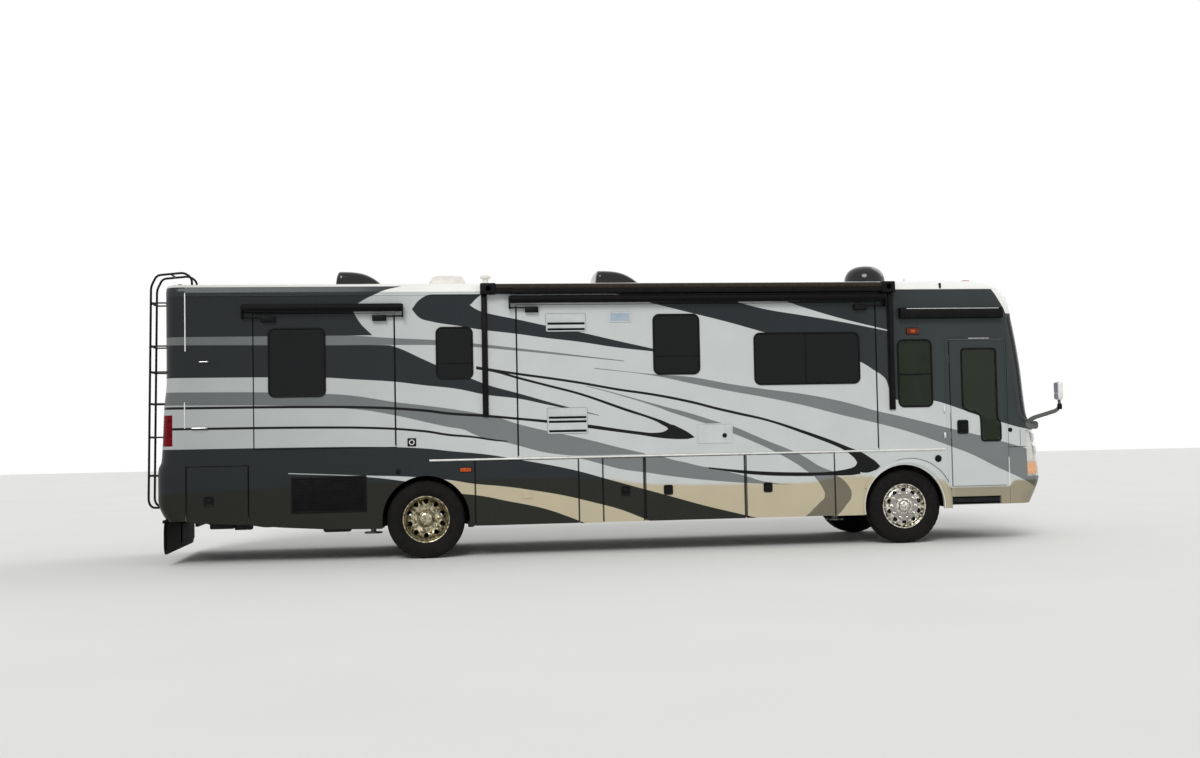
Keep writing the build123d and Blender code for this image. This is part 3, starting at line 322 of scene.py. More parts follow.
# Each band lies between two curves z(x) from its first to its last x; later bands are painted over earlier ones.
paintBands = [
    ("grey", [(-3.6, 2.925), (-1.24, 2.89), (-0.37, 2.83), (0.15, 2.80), (0.7, 2.745), (1.2, 2.685),
              (2.6, 2.505)],
     [(-3.6, 2.775), (-1.24, 2.75), (-0.37, 2.742), (0.15, 2.735), (0.7, 2.70), (1.2, 2.65), (2.6, 2.495)]),
    ("charcoal", [(-3.6, 2.775), (-1.24, 2.75), (-0.45, 2.74), (-0.37, 2.72), (0, 2.55), (0.15, 2.48),
                  (0.62, 2.29), (0.82, 2.21), (1.2, 2.10), (1.6, 1.98), (2.0, 1.868), (2.25, 1.797)],
     [(-3.6, 2.36), (-1.24, 2.335), (-0.9, 2.31), (-0.37, 2.27), (0, 2.22), (0.4, 2.17), (0.82, 2.08),
      (1.2, 2.03), (1.6, 1.94), (2.0, 1.85), (2.25, 1.79)]),
    ("grey", [(-3.6, 2.185), (-1.24, 2.13), (-0.9, 2.10), (-0.37, 2.01), (0, 1.96), (0.4, 1.90), (0.9, 1.80),
              (1.2, 1.70), (1.6, 1.597), (1.9, 1.53), (2.2, 1.455), (2.5, 1.373), (2.85, 1.285)],
     [(-3.6, 2.025), (-0.9, 1.93), (-0.37, 1.84), (0, 1.75), (0.3, 1.678), (0.5, 1.64), (0.6, 1.59),
      (0.8, 1.51), (1.0, 1.475), (1.2, 1.42), (1.5, 1.335), (1.7, 1.30), (2.0, 1.275), (2.85, 1.275)]),
    ("grey", [(1.95, 1.25), (3.05, 1.247), (3.2, 1.2), (3.4, 1.152), (3.6, 1.10), (3.8, 1.07), (4.0, 1.01),
              (4.2, 0.957), (4.4, 0.89), (4.6, 0.853), (4.8, 0.832)],
     [(1.95, 1.248), (2.1, 1.21), (2.27, 1.16), (2.5, 1.094), (2.7, 1.058), (2.9, 1.03), (3.1, 0.995),
      (3.4, 0.95), (3.8, 0.903), (4.2, 0.866), (4.5, 0.845), (4.8, 0.83)]),
    ("grey", [(2.2, 2.415), (3.0, 2.32), (3.5, 2.275), (4.0, 2.18), (4.5, 2.10), (5.0, 2.03), (5.5, 1.93),
              (5.7, 1.878), (6.0, 1.79), (6.3, 1.72), (6.7, 1.62), (7.05, 1.53), (7.45, 1.43), (7.8, 1.335),
              (8.5, 1.12)],
     [(2.2, 2.405), (3.0, 2.30), (3.5, 2.19), (4.0, 2.085), (4.5, 1.99), (5.0, 1.88), (5.5, 1.747),
      (6.0, 1.625), (6.3, 1.545), (6.7, 1.417), (7.05, 1.287), (7.3, 1.19), (7.7, 0.99), (8.0, 0.85),
      (8.5, 0.58)]),
    ("grey", [(2.1, 2.185), (2.5, 2.075), (3.05, 1.915), (3.2, 1.873), (3.4, 1.82), (3.6, 1.757), (3.8, 1.69),
              (4.1, 1.592), (4.3, 1.504), (4.5, 1.416), (4.8, 1.293), (5.0, 1.194), (5.2, 1.067), (5.4, 0.985)],
     [(2.1, 2.175), (2.5, 2.06), (3.05, 1.88), (3.2, 1.82), (3.4, 1.752), (3.6, 1.684), (3.8, 1.62),
      (4.1, 1.497), (4.3, 1.412), (4.5, 1.32), (4.7, 1.215), (4.9, 1.095), (5.05, 0.99), (5.2, 0.92),
      (5.4, 0.90)]),
    ("charcoal", [(-3.6, 1.462), (-0.9, 1.45), (0, 1.41), (0.3, 1.372), (0.8, 1.314), (1.2, 1.24), (1.6, 1.162),
                  (2.0, 1.067), (2.3, 0.977), (2.8, 0.829), (3.2, 0.712), (3.6, 0.593), (4.0, 0.488),
                  (4.35, 0.40)],
     [(-3.6, 0.1), (4.35, 0.1)]),
    ("silver", [(-1.72, 1.135), (-0.72, 1.08), (-0.23, 1.055), (0.3, 1.0), (0.6, 0.946), (1.0, 0.90),
                (1.4, 0.836), (1.8, 0.758), (2.1, 0.68), (2.5, 0.566), (2.8, 0.445), (2.95, 0.38)],
     [(-1.72, 1.125), (-0.72, 1.06), (-0.23, 0.99), (0.1, 0.92), (0.45, 0.822), (0.62, 0.80), (0.8, 0.768),
      (1.0, 0.721), (1.4, 0.633), (1.6, 0.575), (1.8, 0.50), (2.0, 0.418), (2.2, 0.33), (2.95, 0.1)]),
    ("charcoal", [(2.45, 3.42), (8.9, 3.42)],
     [(2.45, 3.40), (2.98, 3.26), (3.45, 3.14), (4.0, 3.0), (4.45, 2.87), (5.1, 2.68), (5.8, 2.45), (6.0, 2.33),
      (6.1, 2.265), (6.16, 2.20), (6.22, 2.0), (6.3, 1.93), (6.8, 1.915), (7.0, 1.86), (7.2, 1.79),
      (7.45, 1.70), (7.78, 1.60), (8.1, 1.515), (8.9, 1.45)]),
    # painted sheen: a lighter charcoal laid over the front charcoal
    ("slate", [(5.7, 3.42), (8.9, 3.42)],
     [(5.7, 2.487), (5.8, 2.45), (6.0, 2.33), (6.1, 2.265), (6.16, 2.20), (6.22, 2.0), (6.3, 1.93),
      (6.8, 1.915), (7.0, 1.86), (7.2, 1.79), (7.45, 1.70), (7.78, 1.60), (8.1, 1.515), (8.9, 1.45)]),
    ("silver", [(4.15, 3.27), (4.8, 3.265), (5.0, 3.2), (5.5, 3.05), (6.2, 2.875)],
     [(4.15, 3.26), (4.5, 3.17), (5.0, 3.085), (5.5, 3.0), (6.2, 2.86)]),
    ("charcoal", [(-0.14, 3.21), (-0.05, 3.32), (0.12, 3.39), (0.5, 3.39), (0.55, 3.32), (0.6, 3.25),
                  (0.73, 3.17), (0.83, 3.14), (1.2, 3.06), (1.6, 2.97), (2.0, 2.89), (2.5, 2.77), (3.0, 2.655)],
     [(-0.14, 3.19), (-0.05, 3.09), (0.1, 3.04), (0.45, 2.98), (0.73, 2.93), (1.2, 2.87), (1.6, 2.81),
      (2.0, 2.76), (2.5, 2.68), (3.0, 2.62)]),
    ("charcoal", [(0.45, 3.39), (0.75, 3.39)], [(0.45, 3.30), (0.58, 3.25), (0.68, 3.33), (0.75, 3.39)]),
    ("black", [(-3.6, 1.992), (-0.9, 1.967), (0, 1.909), (0.3, 1.867), (0.8, 1.824), (1.2, 1.781), (1.6, 1.738),
               (2.2, 1.66), (2.5, 1.61), (2.8, 1.566), (2.95, 1.549), (3.05, 1.551), (3.12, 1.567),
               (3.17, 1.60), (3.21, 1.652), (3.3, 1.617), (3.4, 1.566), (3.45, 1.534), (3.505, 1.492)],
     [(-3.6, 1.968), (-0.9, 1.943), (0, 1.882), (0.3, 1.84), (0.8, 1.798), (1.2, 1.756), (1.6, 1.708),
      (2.0, 1.651), (2.4, 1.59), (2.8, 1.53), (3.0, 1.496), (3.2, 1.472), (3.4, 1.465), (3.505, 1.482)]),
    ("black", [(-3.6, 1.73), (-0.9, 1.706), (0, 1.641), (0.3, 1.589), (0.6, 1.556), (0.9, 1.504),
               (1.05, 1.483)],
     [(-3.6, 1.707), (-0.9, 1.684), (0, 1.619), (0.3, 1.567), (0.6, 1.538), (0.9, 1.49), (1.05, 1.477)]),
    ("black", [(0.67, 2.44), (0.9, 2.402), (1.2, 2.312), (1.6, 2.202), (2.0, 2.092), (2.6, 1.88), (3.0, 1.74),
               (3.1, 1.703), (3.2, 1.657), (3.3, 1.617)],
     [(0.67, 2.42), (0.9, 2.378), (1.2, 2.288), (1.6, 2.178), (2.0, 2.068), (2.6, 1.85), (3.0, 1.708),
      (3.1, 1.651), (3.15, 1.622), (3.18, 1.57), (3.21, 1.50), (3.3, 1.48)]),
    ("black", [(0.67, 2.452), (0.83, 2.424), (1.2, 2.362), (1.6, 2.302), (2.0, 2.237), (2.5, 2.142),
               (3.0, 2.062), (3.5, 1.957), (3.8, 1.876), (4.1, 1.803), (4.5, 1.704), (5.0, 1.54), (5.2, 1.469),
               (5.4, 1.394), (5.6, 1.31), (5.8, 1.226), (5.9, 1.163), (5.97, 1.115), (6.035, 1.05)],
     [(0.67, 2.428), (0.83, 2.40), (1.2, 2.338), (1.6, 2.278), (2.0, 2.213), (2.5, 2.118), (3.0, 2.037),
      (3.5, 1.93), (3.8, 1.849), (4.1, 1.775), (4.5, 1.68), (5.0, 1.504), (5.2, 1.427), (5.4, 1.346),
      (5.55, 1.272), (5.65, 1.197), (5.7, 1.145), (5.73, 1.08), (5.76, 0.98), (5.85, 0.966), (5.95, 0.99),
      (6.0, 1.01), (6.035, 1.04)]),
    ("black", [(3.7, 1.08), (3.9, 1.058), (4.1, 1.037), (4.5, 1.004), (5.0, 0.983), (5.2, 0.979), (5.4, 0.99),
               (5.6, 1.018), (5.66, 1.035), (5.7, 1.06), (5.73, 1.12), (5.76, 1.23)],
     [(3.7, 1.07), (3.9, 1.038), (4.1, 1.004), (4.4, 0.969), (4.8, 0.946), (5.2, 0.938), (5.6, 0.937),
      (5.76, 0.952)]),
]
# Bands whose sides are curves x(z), from their lowest to their highest z
uprightBands = [
    ("grey", [(0.38, 4.95), (0.447, 5.05), (0.497, 5.1), (0.539, 5.15), (0.588, 5.2), (0.63, 5.25),
              (0.70, 5.265), (0.743, 5.25), (0.835, 5.2), (0.94, 5.12)],
     [(0.38, 5.40), (0.468, 5.5), (0.532, 5.55), (0.588, 5.6), (0.63, 5.625), (0.70, 5.635), (0.786, 5.6),
      (0.85, 5.55), (0.896, 5.5), (0.94, 5.42)]),
    ("charcoal", [(2.87, -3.6), (3.50, -3.6)],
     [(2.87, -0.65), (2.92, -0.70), (3.0, -0.78), (3.16, -0.88), (3.2, -0.90), (3.31, -0.78), (3.40, -0.6),
      (3.46, -0.45), (3.50, -0.27)]),
    ("roofWhite", [(3.09, 7.89), (3.15, 7.865), (3.25, 7.80), (3.35, 7.735), (3.42, 7.68)],
     [(3.09, 8.9), (3.42, 8.9)]),
]


def curveValue(tree, along, points, span, start=0.0):
    # a smooth curve through measured points; the node works from 0 to 1, so points run over their own length and
    # values over span from start
    first, last = points[0][0], points[-1][0]
    share = addNode(tree, "MapRange", None, (along, first, last, 0.0, 1.0))
    value = addNode(tree, "FloatCurve", None, {1: share})
    curve = value.node.mapping.curves[0]
    places = [((p - first) / (last - first), (v - start) / span) for p, v in points]
    for point, spot in zip(curve.points, (places[0], places[-1])):
        point.location = spot
    for spot in places[1:-1]:
        curve.points.new(*spot)
    for point in curve.points:
        point.handle_type = "AUTO_CLAMPED"
    value.node.mapping.update()
    return addNode(tree, "Math", {"operation": "MULTIPLY_ADD"}, (value, span, start))


# Settings of the sums that shape the paint, and the two spans, in metres, that its curves are drawn over
minus, plus, times, least = ({"operation": name} for name in ("SUBTRACT", "ADD", "MULTIPLY", "MINIMUM"))
heightSpan, lengthSpan, lengthStart = 4.0, 12.5, -3.6
# the low panels carry a painted warm light, a warm tint, up to this soft line
warmLightLine = [(-3.6, 0.90), (0.3, 1.0), (2.3, 0.97), (2.8, 0.90), (3.3, 0.875), (5.0, 0.855), (5.6, 0.93),
            (6.4, 0.86), (6.9, 0.85), (7.02, 0.74), (7.83, 0.74), (7.95, 0.82), (9.0, 0.8)]


def bodyPaint():
    # silver lacquer with painted bands: the bands carry the coach's swept lines, the thin coat gives a soft shine
    material, tree, shader = newMaterial("clearCoatedPaint")
    where = addNode(tree, "TexCoord", output="Object")
    split = addNode(tree, "SeparateXYZ", None, [where]).node
    x = addNode(tree, "Math", minus, (split.outputs[0], x0))
    z = split.outputs[2]

    def within(value, low, high):
        # how far a value lies inside two limits, as the smaller of high - value and value - low
        return addNode(tree, "Math", least, (addNode(tree, "Math", minus, (high, value)),
                                             addNode(tree, "Math", minus, (value, low))))

    def mixIn(colour, distance, name):
        # the named colour where the distance inside a band is above nought, with a short soft edge
        amount = addNode(tree, "MapRange", None, (distance, -edgeBlur / 2, edgeBlur / 2, 0.0, 1.0))
        # painted sheen: the charcoal turns lighter towards the front, where the coat catches the light
        if name == "slate":  # the lighter charcoal fades in towards the front
            amount = addNode(tree, "Math", times,
                             (amount, addNode(tree, "MapRange", None, (x, 5.7, 6.7, 0.0, 1.0))))
        return addNode(tree, "Mix", {"data_type": "RGBA", "clamp_factor": False},
                       {0: amount, 6: colour, 7: hexColour(paintColours[name])}, 2)

    colour = mixIn(hexColour(paintColours["silver"]), addNode(tree, "Math", minus, (z, 3.425)), "roofWhite")
    for name, top, bottom in paintBands:
        inside = within(z, curveValue(tree, x, bottom, heightSpan), curveValue(tree, x, top, heightSpan))
        ends = within(x, max(top[0][0], bottom[0][0]), min(top[-1][0], bottom[-1][0]))
        both = addNode(tree, "Math", least, (inside, ends))
        colour = mixIn(colour, addNode(tree, "Math", plus,
                                       (both, blackGrowth if name == "black" else 0.0)), name)
    for name, rear, front in uprightBands:
        inside = within(x, *(curveValue(tree, z, side, lengthSpan, lengthStart) for side in (rear, front)))
        ends = within(z, rear[0][0], rear[-1][0])
        colour = mixIn(colour, addNode(tree, "Math", least, (inside, ends)), name)

    # painted warm light: below the soft line the colour is multiplied by a warm tint
    warmLightTop = curveValue(tree, x, warmLightLine, heightSpan)
    warm = addNode(tree, "MapRange", {"interpolation_type": "SMOOTHSTEP"},
                   (addNode(tree, "Math", minus, (warmLightTop, z)), -0.02, 0.03, 0.0, 1.0))
    colour = addNode(tree, "Mix", {"data_type": "RGBA", "blend_type": "MULTIPLY"},
                     {0: warm, 6: colour, 7: hexColour("F4E3C3")}, 2)
    # faint haze: broad cloudiness about 0.4 m across in the colour, and specks of a few millimetres in the gloss
    haze = addNode(tree, "TexNoise", None, {"Vector": where, "Scale": 2.5, "Detail": 4.0})
    specks = addNode(tree, "TexNoise", None, {"Vector": where, "Scale": 180.0, "Detail": 2.0})
    hazeShadeAndSheen = addNode(tree, "MapRange", None, (haze, 0.3, 0.7, 0.97, 1.03))
    # painted shade makes the rear a little darker, and a painted sheen lightens its dark roof edge above the
    # gutter line
    rearShade = addNode(tree, "MapRange", None, (x, -3.0, 0.6, 0.68, 1.0))
    # painted sheen on the rear roof edge: between the gutter line and the roof the colour is up to 1.7 times as
    # bright
    sheenAboveGutter = addNode(tree, "MapRange", None, (z, 3.384, 3.392, 0.0, 1.0))
    sheenRearward = addNode(tree, "MapRange", None, (x, -0.9, -0.5, 0.7, 0.0))
    sheenBelowRoof = addNode(tree, "MapRange", None, (z, 3.485, 3.505, 1.0, 0.0))
    edge = addNode(tree, "Math", times, (addNode(tree, "Math", times, (sheenAboveGutter, sheenRearward)), sheenBelowRoof))
    hazeShadeAndSheen = addNode(tree, "Math", times, (addNode(tree, "Math", times, (hazeShadeAndSheen, rearShade)),
                                         addNode(tree, "Math", plus, (edge, 1.0))))
    # painted shade: the panels under the painted warm light turn darker below the door and round the front corner
    corner = addNode(tree, "MapRange", None, (x, 6.85, 7.1, 0.0, 0.38))
    lowShade = addNode(tree, "Math", minus, (1.0, addNode(tree, "Math", times, (warm, corner))))
    hazeShadeAndSheen = addNode(tree, "Math", times, (hazeShadeAndSheen, lowShade))
    setInputs(tree, shader, {
        "Base Color": addNode(tree, "VectorMath", {"operation": "SCALE"}, {0: colour, 3: hazeShadeAndSheen}),
        "Roughness": addNode(tree, "MapRange", None, (specks, 0.3, 0.7, 0.22, 0.32)),
        "Specular IOR Level": 0.14, "Coat Weight": 0.1, "Coat Roughness": 0.06})
    return material


def simpleMaterial(name, low, high, roughness, metallic=0.0, scale=20.0, bump=0.0, bumpScale=200.0, coat=0.0,
                   spread=0.05, shine=0.5):
    # two close tones mixed by noise of the given scale, roughness varied by the same noise, and a fine relief
    material, tree, shader = newMaterial(name)
    where = addNode(tree, "TexCoord", output="Object")
    noise = addNode(tree, "TexNoise", None, {"Vector": where, "Scale": scale, "Detail": 4.0})
    tone = addNode(tree, "MapRange", None, (noise, 0.35, 0.65, 0.0, 1.0))
    setInputs(tree, shader, {
        "Base Color": addNode(tree, "Mix", {"data_type": "RGBA"},
                              {0: tone, 6: hexColour(low), 7: hexColour(high)}, 2),
        "Roughness": addNode(tree, "MapRange", None,
                             (tone, 0.0, 1.0, max(roughness - spread, 0.02), min(roughness + spread, 1.0))),
        "Metallic": metallic})
    if coat:
        setInputs(tree, shader, {"Coat Weight": coat})
    if not metallic:
        setInputs(tree, shader, {"Specular IOR Level": shine})
    if bump:
        grain = addNode(tree, "TexNoise", None, {"Vector": where, "Scale": bumpScale, "Detail": 3.0})
        relief = addNode(tree, "Bump", None, {"Strength": 0.5, "Distance": bump, "Height": grain})
        setInputs(tree, shader, {"Normal": relief})
    return material


def glassMaterial(name, tint, roughness, see):
    # smoked safety glass: a dark pane that lets part of the light through
    material, tree, shader = newMaterial(name)
    where = addNode(tree, "TexCoord", output="Object")
    noise = addNode(tree, "TexNoise", None, {"Vector": where, "Scale": 3.0, "Detail": 2.0})
    tone = addNode(tree, "MapRange", None, (noise, 0.3, 0.7, 0.0, 1.0))
    dark = hexColour(tint)
    light = tuple(v * 1.15 for v in dark[:3]) + (1,)
    setInputs(tree, shader, {
        "Base Color": addNode(tree, "Mix", {"data_type": "RGBA"}, {0: tone, 6: dark, 7: light}, 2),
        "Roughness": roughness, "Specular IOR Level": 0.18, "IOR": 1.5, "Alpha": see})
    return material


materials = {
    "paint": bodyPaint(),
    # dull black with a rough skin: the frame recedes under the body
    "chassis": simpleMaterial("chassisBlackEnamel", "17171A", "2A2725", 0.6, scale=9, bump=0.0006, bumpScale=90,
                              shine=0.15),
    # grey plated steel with a blurred shine on the legs
    "jack": simpleMaterial("zincPlatedSteel", "6A6C6E", "83817C", 0.42, metallic=0.9, scale=12, bump=0.0003),
    # plain grey board, matt
    "floor": simpleMaterial("greyCoatedPanel", "3A3B3C", "4A4947", 0.7, scale=6, bump=0.0005),
    # moulded black sheet that swallows light in bays and wheel wells
    "liner": simpleMaterial("blackPolyethyleneLiner", "0E0E0F", "1B1A19", 0.75, scale=14, bump=0.0008,
                            bumpScale=120, shine=0.08),
    # almost opaque house windows that show no inside
    "glass": glassMaterial("smokedHouseGlass", "0B0D0E", 0.03, 0.97),
    # green-grey cab glass, a little lighter than the house windows
    "cabGlass": glassMaterial("tintedCabGlass", "20281B", 0.03, 0.78),
    # the windscreen lets the seats and dashboard show faintly
    "screen": glassMaterial("laminatedScreenGlass", "1F261F", 0.03, 0.6),
    # a clear cover with the bright bowls seen through it
    "clearLens": glassMaterial("clearPolycarbonateCover", "DEE0DC", 0.05, 0.16),
    # a warm bright spot at each front corner
    "turnAmber": simpleMaterial("brightAmberLens", "E58A18", "FFAE3C", 0.15, scale=30, coat=0.2, shine=0.2),
    # painted grey arms and feet of the mirrors
    "casting": simpleMaterial("paintedGreyCasting", "5C5E5C", "6A6C69", 0.4, scale=12, bump=0.0003, shine=0.2),
    # pale even silver, soft enough to stay clean; its pale diffuse tone is a painted reflection
    "mirror": simpleMaterial("silveredMirrorGlass", "BFC3D2", "CDD0DC", 0.12, metallic=0.35, scale=12),
    # polished aluminium on the drive wheels with brake dust: patches from bronze to bright, about 40 mm across,
    # are painted reflections and painted shade
    "driveAlloy": simpleMaterial("polishedAluminiumDustAndReflections", "544D38", "D6CDB0", 0.22, metallic=0.85, scale=26),
    # dark side lamps that read as a brown red
    "smokedAmber": simpleMaterial("smokedAmberLens", "541A07", "6E2207", 0.15, scale=30, coat=0.2, shine=0.2),
    # rolled black cloth, matt against the glossy wall
    "topperVinyl": simpleMaterial("blackTopperVinyl", "060606", "0C0B0A", 0.6, scale=24, bump=0.0006,
                                  shine=0.1),
    # white lamp glass with a hard gloss
    "lens": simpleMaterial("polycarbonateLens", "F4F2EA", "FFFFFF", 0.08, scale=8, coat=1.0),
    # deep red tail lamps without a glare
    "red": simpleMaterial("redAcrylicLens", "58030B", "740812", 0.3, scale=30, shine=0.06),
    # orange lamps along roof and sides
    "amber": simpleMaterial("amberAcrylicLens", "9C3406", "BE560C", 0.15, scale=30, coat=0.2, shine=0.2),
    # half-gloss black of frames, latches and ladder
    "black": simpleMaterial("satinBlackPaint", "080809", "0F0F0F", 0.38, scale=10, bump=0.0002, shine=0.12),
    # warm white plastic of vents and lids
    "white": simpleMaterial("whiteMouldedAbs", "D9D7CE", "E6E4DC", 0.4, scale=9, bump=0.0003),
    # glossy black shells on the roof with a sharp highlight
    "dome": simpleMaterial("glossBlackAbs", "0A0A0B", "101012", 0.12, scale=6, coat=0.3, shine=0.25),
    # dark metal tread
    "step": simpleMaterial("blackAnodisedTread", "121214", "1E1E20", 0.5, metallic=0.7, scale=14),
    # nearly black, grained at 4 mm, with no shine
    "rubber": simpleMaterial("tyreRubber", "111111", "1D1B19", 0.8, scale=16, bump=0.0006, bumpScale=260,
                             shine=0.12),
    # bright mirror-like rims broken into patches about 33 mm across: the patches are painted reflections
    "alloy": simpleMaterial("polishedForgedAluminium", "7F7B6D", "FBF9F0", 0.12, metallic=1.0, scale=30),
    # fine-grained dark plastic
    "dash": simpleMaterial("grainedDashAbs", "1C1C1E", "28272A", 0.65, scale=10, bump=0.0006, bumpScale=500,
                           shine=0.2),
    # beige seats with a fine pore
    "leather": simpleMaterial("beigeUpholsteryLeather", "8D7C63", "A08E73", 0.5, scale=18, bump=0.0007,
                              bumpScale=420),
    # painted plates a shade off the wall's silver
    "panel": simpleMaterial("paintedVentPanel", "BDC2C2", "C6CAC9", 0.35, scale=9, bump=0.0002, shine=0.2),
    # a hatch lid with a blue cast
    "bluePanel": simpleMaterial("blueGreyHatchLid", "98A8B6", "A6B4C0", 0.35, scale=9, shine=0.2),
    # a darker metal ring round each hub: painted shade on the disc face
    "castAlloy": simpleMaterial("hubRingAlloyPaintedShade", "8B8A84", "A3A29A", 0.34, metallic=1.0, scale=60,
                                spread=0.06),
    # small bright fittings and lamp bowls
    "chrome": simpleMaterial("brightChrome", "C9CBCD", "E3E4E4", 0.08, metallic=1.0, scale=20),
    # thin light lines along the body
    "silverTrim": simpleMaterial("brightAnodisedMoulding", "DADBD8", "E8E8E4", 0.35, metallic=0.2, scale=16),
    # the rolled awning cloth, a dark brown line under the roof
    "awningVinyl": simpleMaterial("rolledAwningVinyl", "26221A", "352F24", 0.65, scale=24, bump=0.0006,
                                  shine=0.12),
}
# the finish of each slot's CAD nodes
slotMaterials = {
    "body_paint": "paint", "chassis_steel": "chassis", "jack_steel": "jack", "floor_composite": "floor",
    "well_plastic": "liner",
    "tinted_glass": "glass", "lamp_lens": "lens", "red_lens": "red", "amber_lens": "amber",
    "black_metal": "black",
    "white_plastic": "white", "dome_plastic": "dome", "step_metal": "step", "tyre_rubber": "rubber",
    "wheel_alloy": "alloy", "dash_plastic": "dash", "seat_leather": "leather"}
for subpart in frame["record"]["subparts"]:
    thing = cadNodes[subpart["node"]]
    thing.data.materials.clear()
    thing.data.materials.append(materials[slotMaterials[subpart["material_slot"]]])
for node, chosen in (("windscreen", "screen"), ("entry_door_window", "cabGlass")):
    cadNodes[node].data.materials[0] = materials[chosen]
print("materials done")


# Floor, lights and camera
stageColours = {"floorLow": "E2E2E0", "floorHigh": "E8E8E6", "world": "FFFFFF"}
sunLamps = [("keySun", (0.25, 0.75, -0.62), 1.5, 25),
            ("fillSun", (-0.7, -0.4, -0.6), 0.5, 40)]  # direction, power, degrees


def studio():
    # a pale matt floor, an even white world and two soft suns
    size = 60.0
    verts = [(-size, -size, 0), (size, -size, 0), (size, size, 0), (-size, size, 0)]
    mesh = bpy.data.meshes.new("studioFloor")
    mesh.from_pydata(verts, [], [[0, 1, 2, 3]])
    material, tree, shader = newMaterial("paleMattFloor")
    where = addNode(tree, "TexCoord", output="Object")
    noise = addNode(tree, "TexNoise", None, {"Vector": where, "Scale": 0.4})
    tones = {6: hexColour(stageColours["floorLow"]), 7: hexColour(stageColours["floorHigh"])}
    setInputs(tree, shader, {"Base Color": addNode(tree, "Mix", {"data_type": "RGBA"}, {0: noise, **tones}, 2),
                             "Roughness": 0.9})
    mesh.materials.append(material)
    addObject("studioFloor", mesh)
    world = bpy.data.worlds.new("softWorld")
    world.use_nodes = True
    tree = world.node_tree
    tree.nodes.clear()
    # full white to the camera, in shine and through glass, and about half as bright as light on matt faces
    rays = addNode(tree, "LightPath").node.outputs
    most = {"operation": "MAXIMUM"}
    bright = addNode(tree, "Math", most, (rays["Is Glossy Ray"], rays["Is Transmission Ray"]))
    bright = addNode(tree, "Math", most, (rays["Is Camera Ray"], bright))
    strength = addNode(tree, "MapRange", None, (bright, 0.0, 1.0, 0.55, 1.0))
    backdrop = addNode(tree, "Background", None, (hexColour(stageColours["world"]), strength))
    addNode(tree, "OutputWorld", None, [backdrop])
    bpy.context.scene.world = world
    for name, direction, power, angle in sunLamps:
        lamp = bpy.data.lights.new(name, "SUN")
        lamp.energy, lamp.angle = power, math.radians(angle)
        thing = addObject(name, lamp)
        d = np.array(direction) / np.linalg.norm(direction)
        side = np.cross(d, [0, 0, 1.0])
        side /= np.linalg.norm(side)
        up = np.cross(side, d)
        thing.matrix_world = Matrix([[side[i], up[i], -d[i], 0] for i in range(3)] + [[0, 0, 0, 1]])
    bpy.context.scene.view_settings.view_transform = "Standard"


def photographCamera():
    # yaw turns towards the front of the coach, pitch is up, roll is about the line of sight
    view = {"yaw": 7.727, "pitch": 2.380, "roll": -1.150, "x": -0.093, "y": -18.734, "z": 1.536, "lens": 40.5}
    yaw, pitch, roll = (math.radians(view[k]) for k in ("yaw", "pitch", "roll"))
    ahead = np.array([math.sin(yaw) * math.cos(pitch), math.cos(yaw) * math.cos(pitch), math.sin(pitch)])
    level = np.array([math.cos(yaw), -math.sin(yaw), 0.0])
    above = np.cross(level, ahead)
    right = math.cos(roll) * level + math.sin(roll) * above
    up = -math.sin(roll) * level + math.cos(roll) * above
    data = bpy.data.cameras.new("photographCamera")
    data.lens, data.sensor_width, data.sensor_fit = view["lens"], 36.0, "HORIZONTAL"
    data.clip_end = 500.0
    camera = addObject("photographCamera", data)
    spot = (view["x"] + x0, view["y"], view["z"])
    camera.matrix_world = Matrix([[right[i], up[i], -ahead[i], spot[i]] for i in range(3)] + [[0, 0, 0, 1]])
    bpy.context.scene.camera = camera


studio()
photographCamera()
print("stage and camera done")


# Wheels
wheelSizes = {"steerY": 1.067, "dualY": (1.087, 0.777), "axleZ": 0.5, "handHoles": 10, "holePitch": 0.216,
              "holeRadius": 0.030, "lugPitch": 0.1675, "grooves": (-0.066, -0.022, 0.022, 0.066),
              "grooveDepth": 0.013, "zigzag": 0.003, "turns": 240}


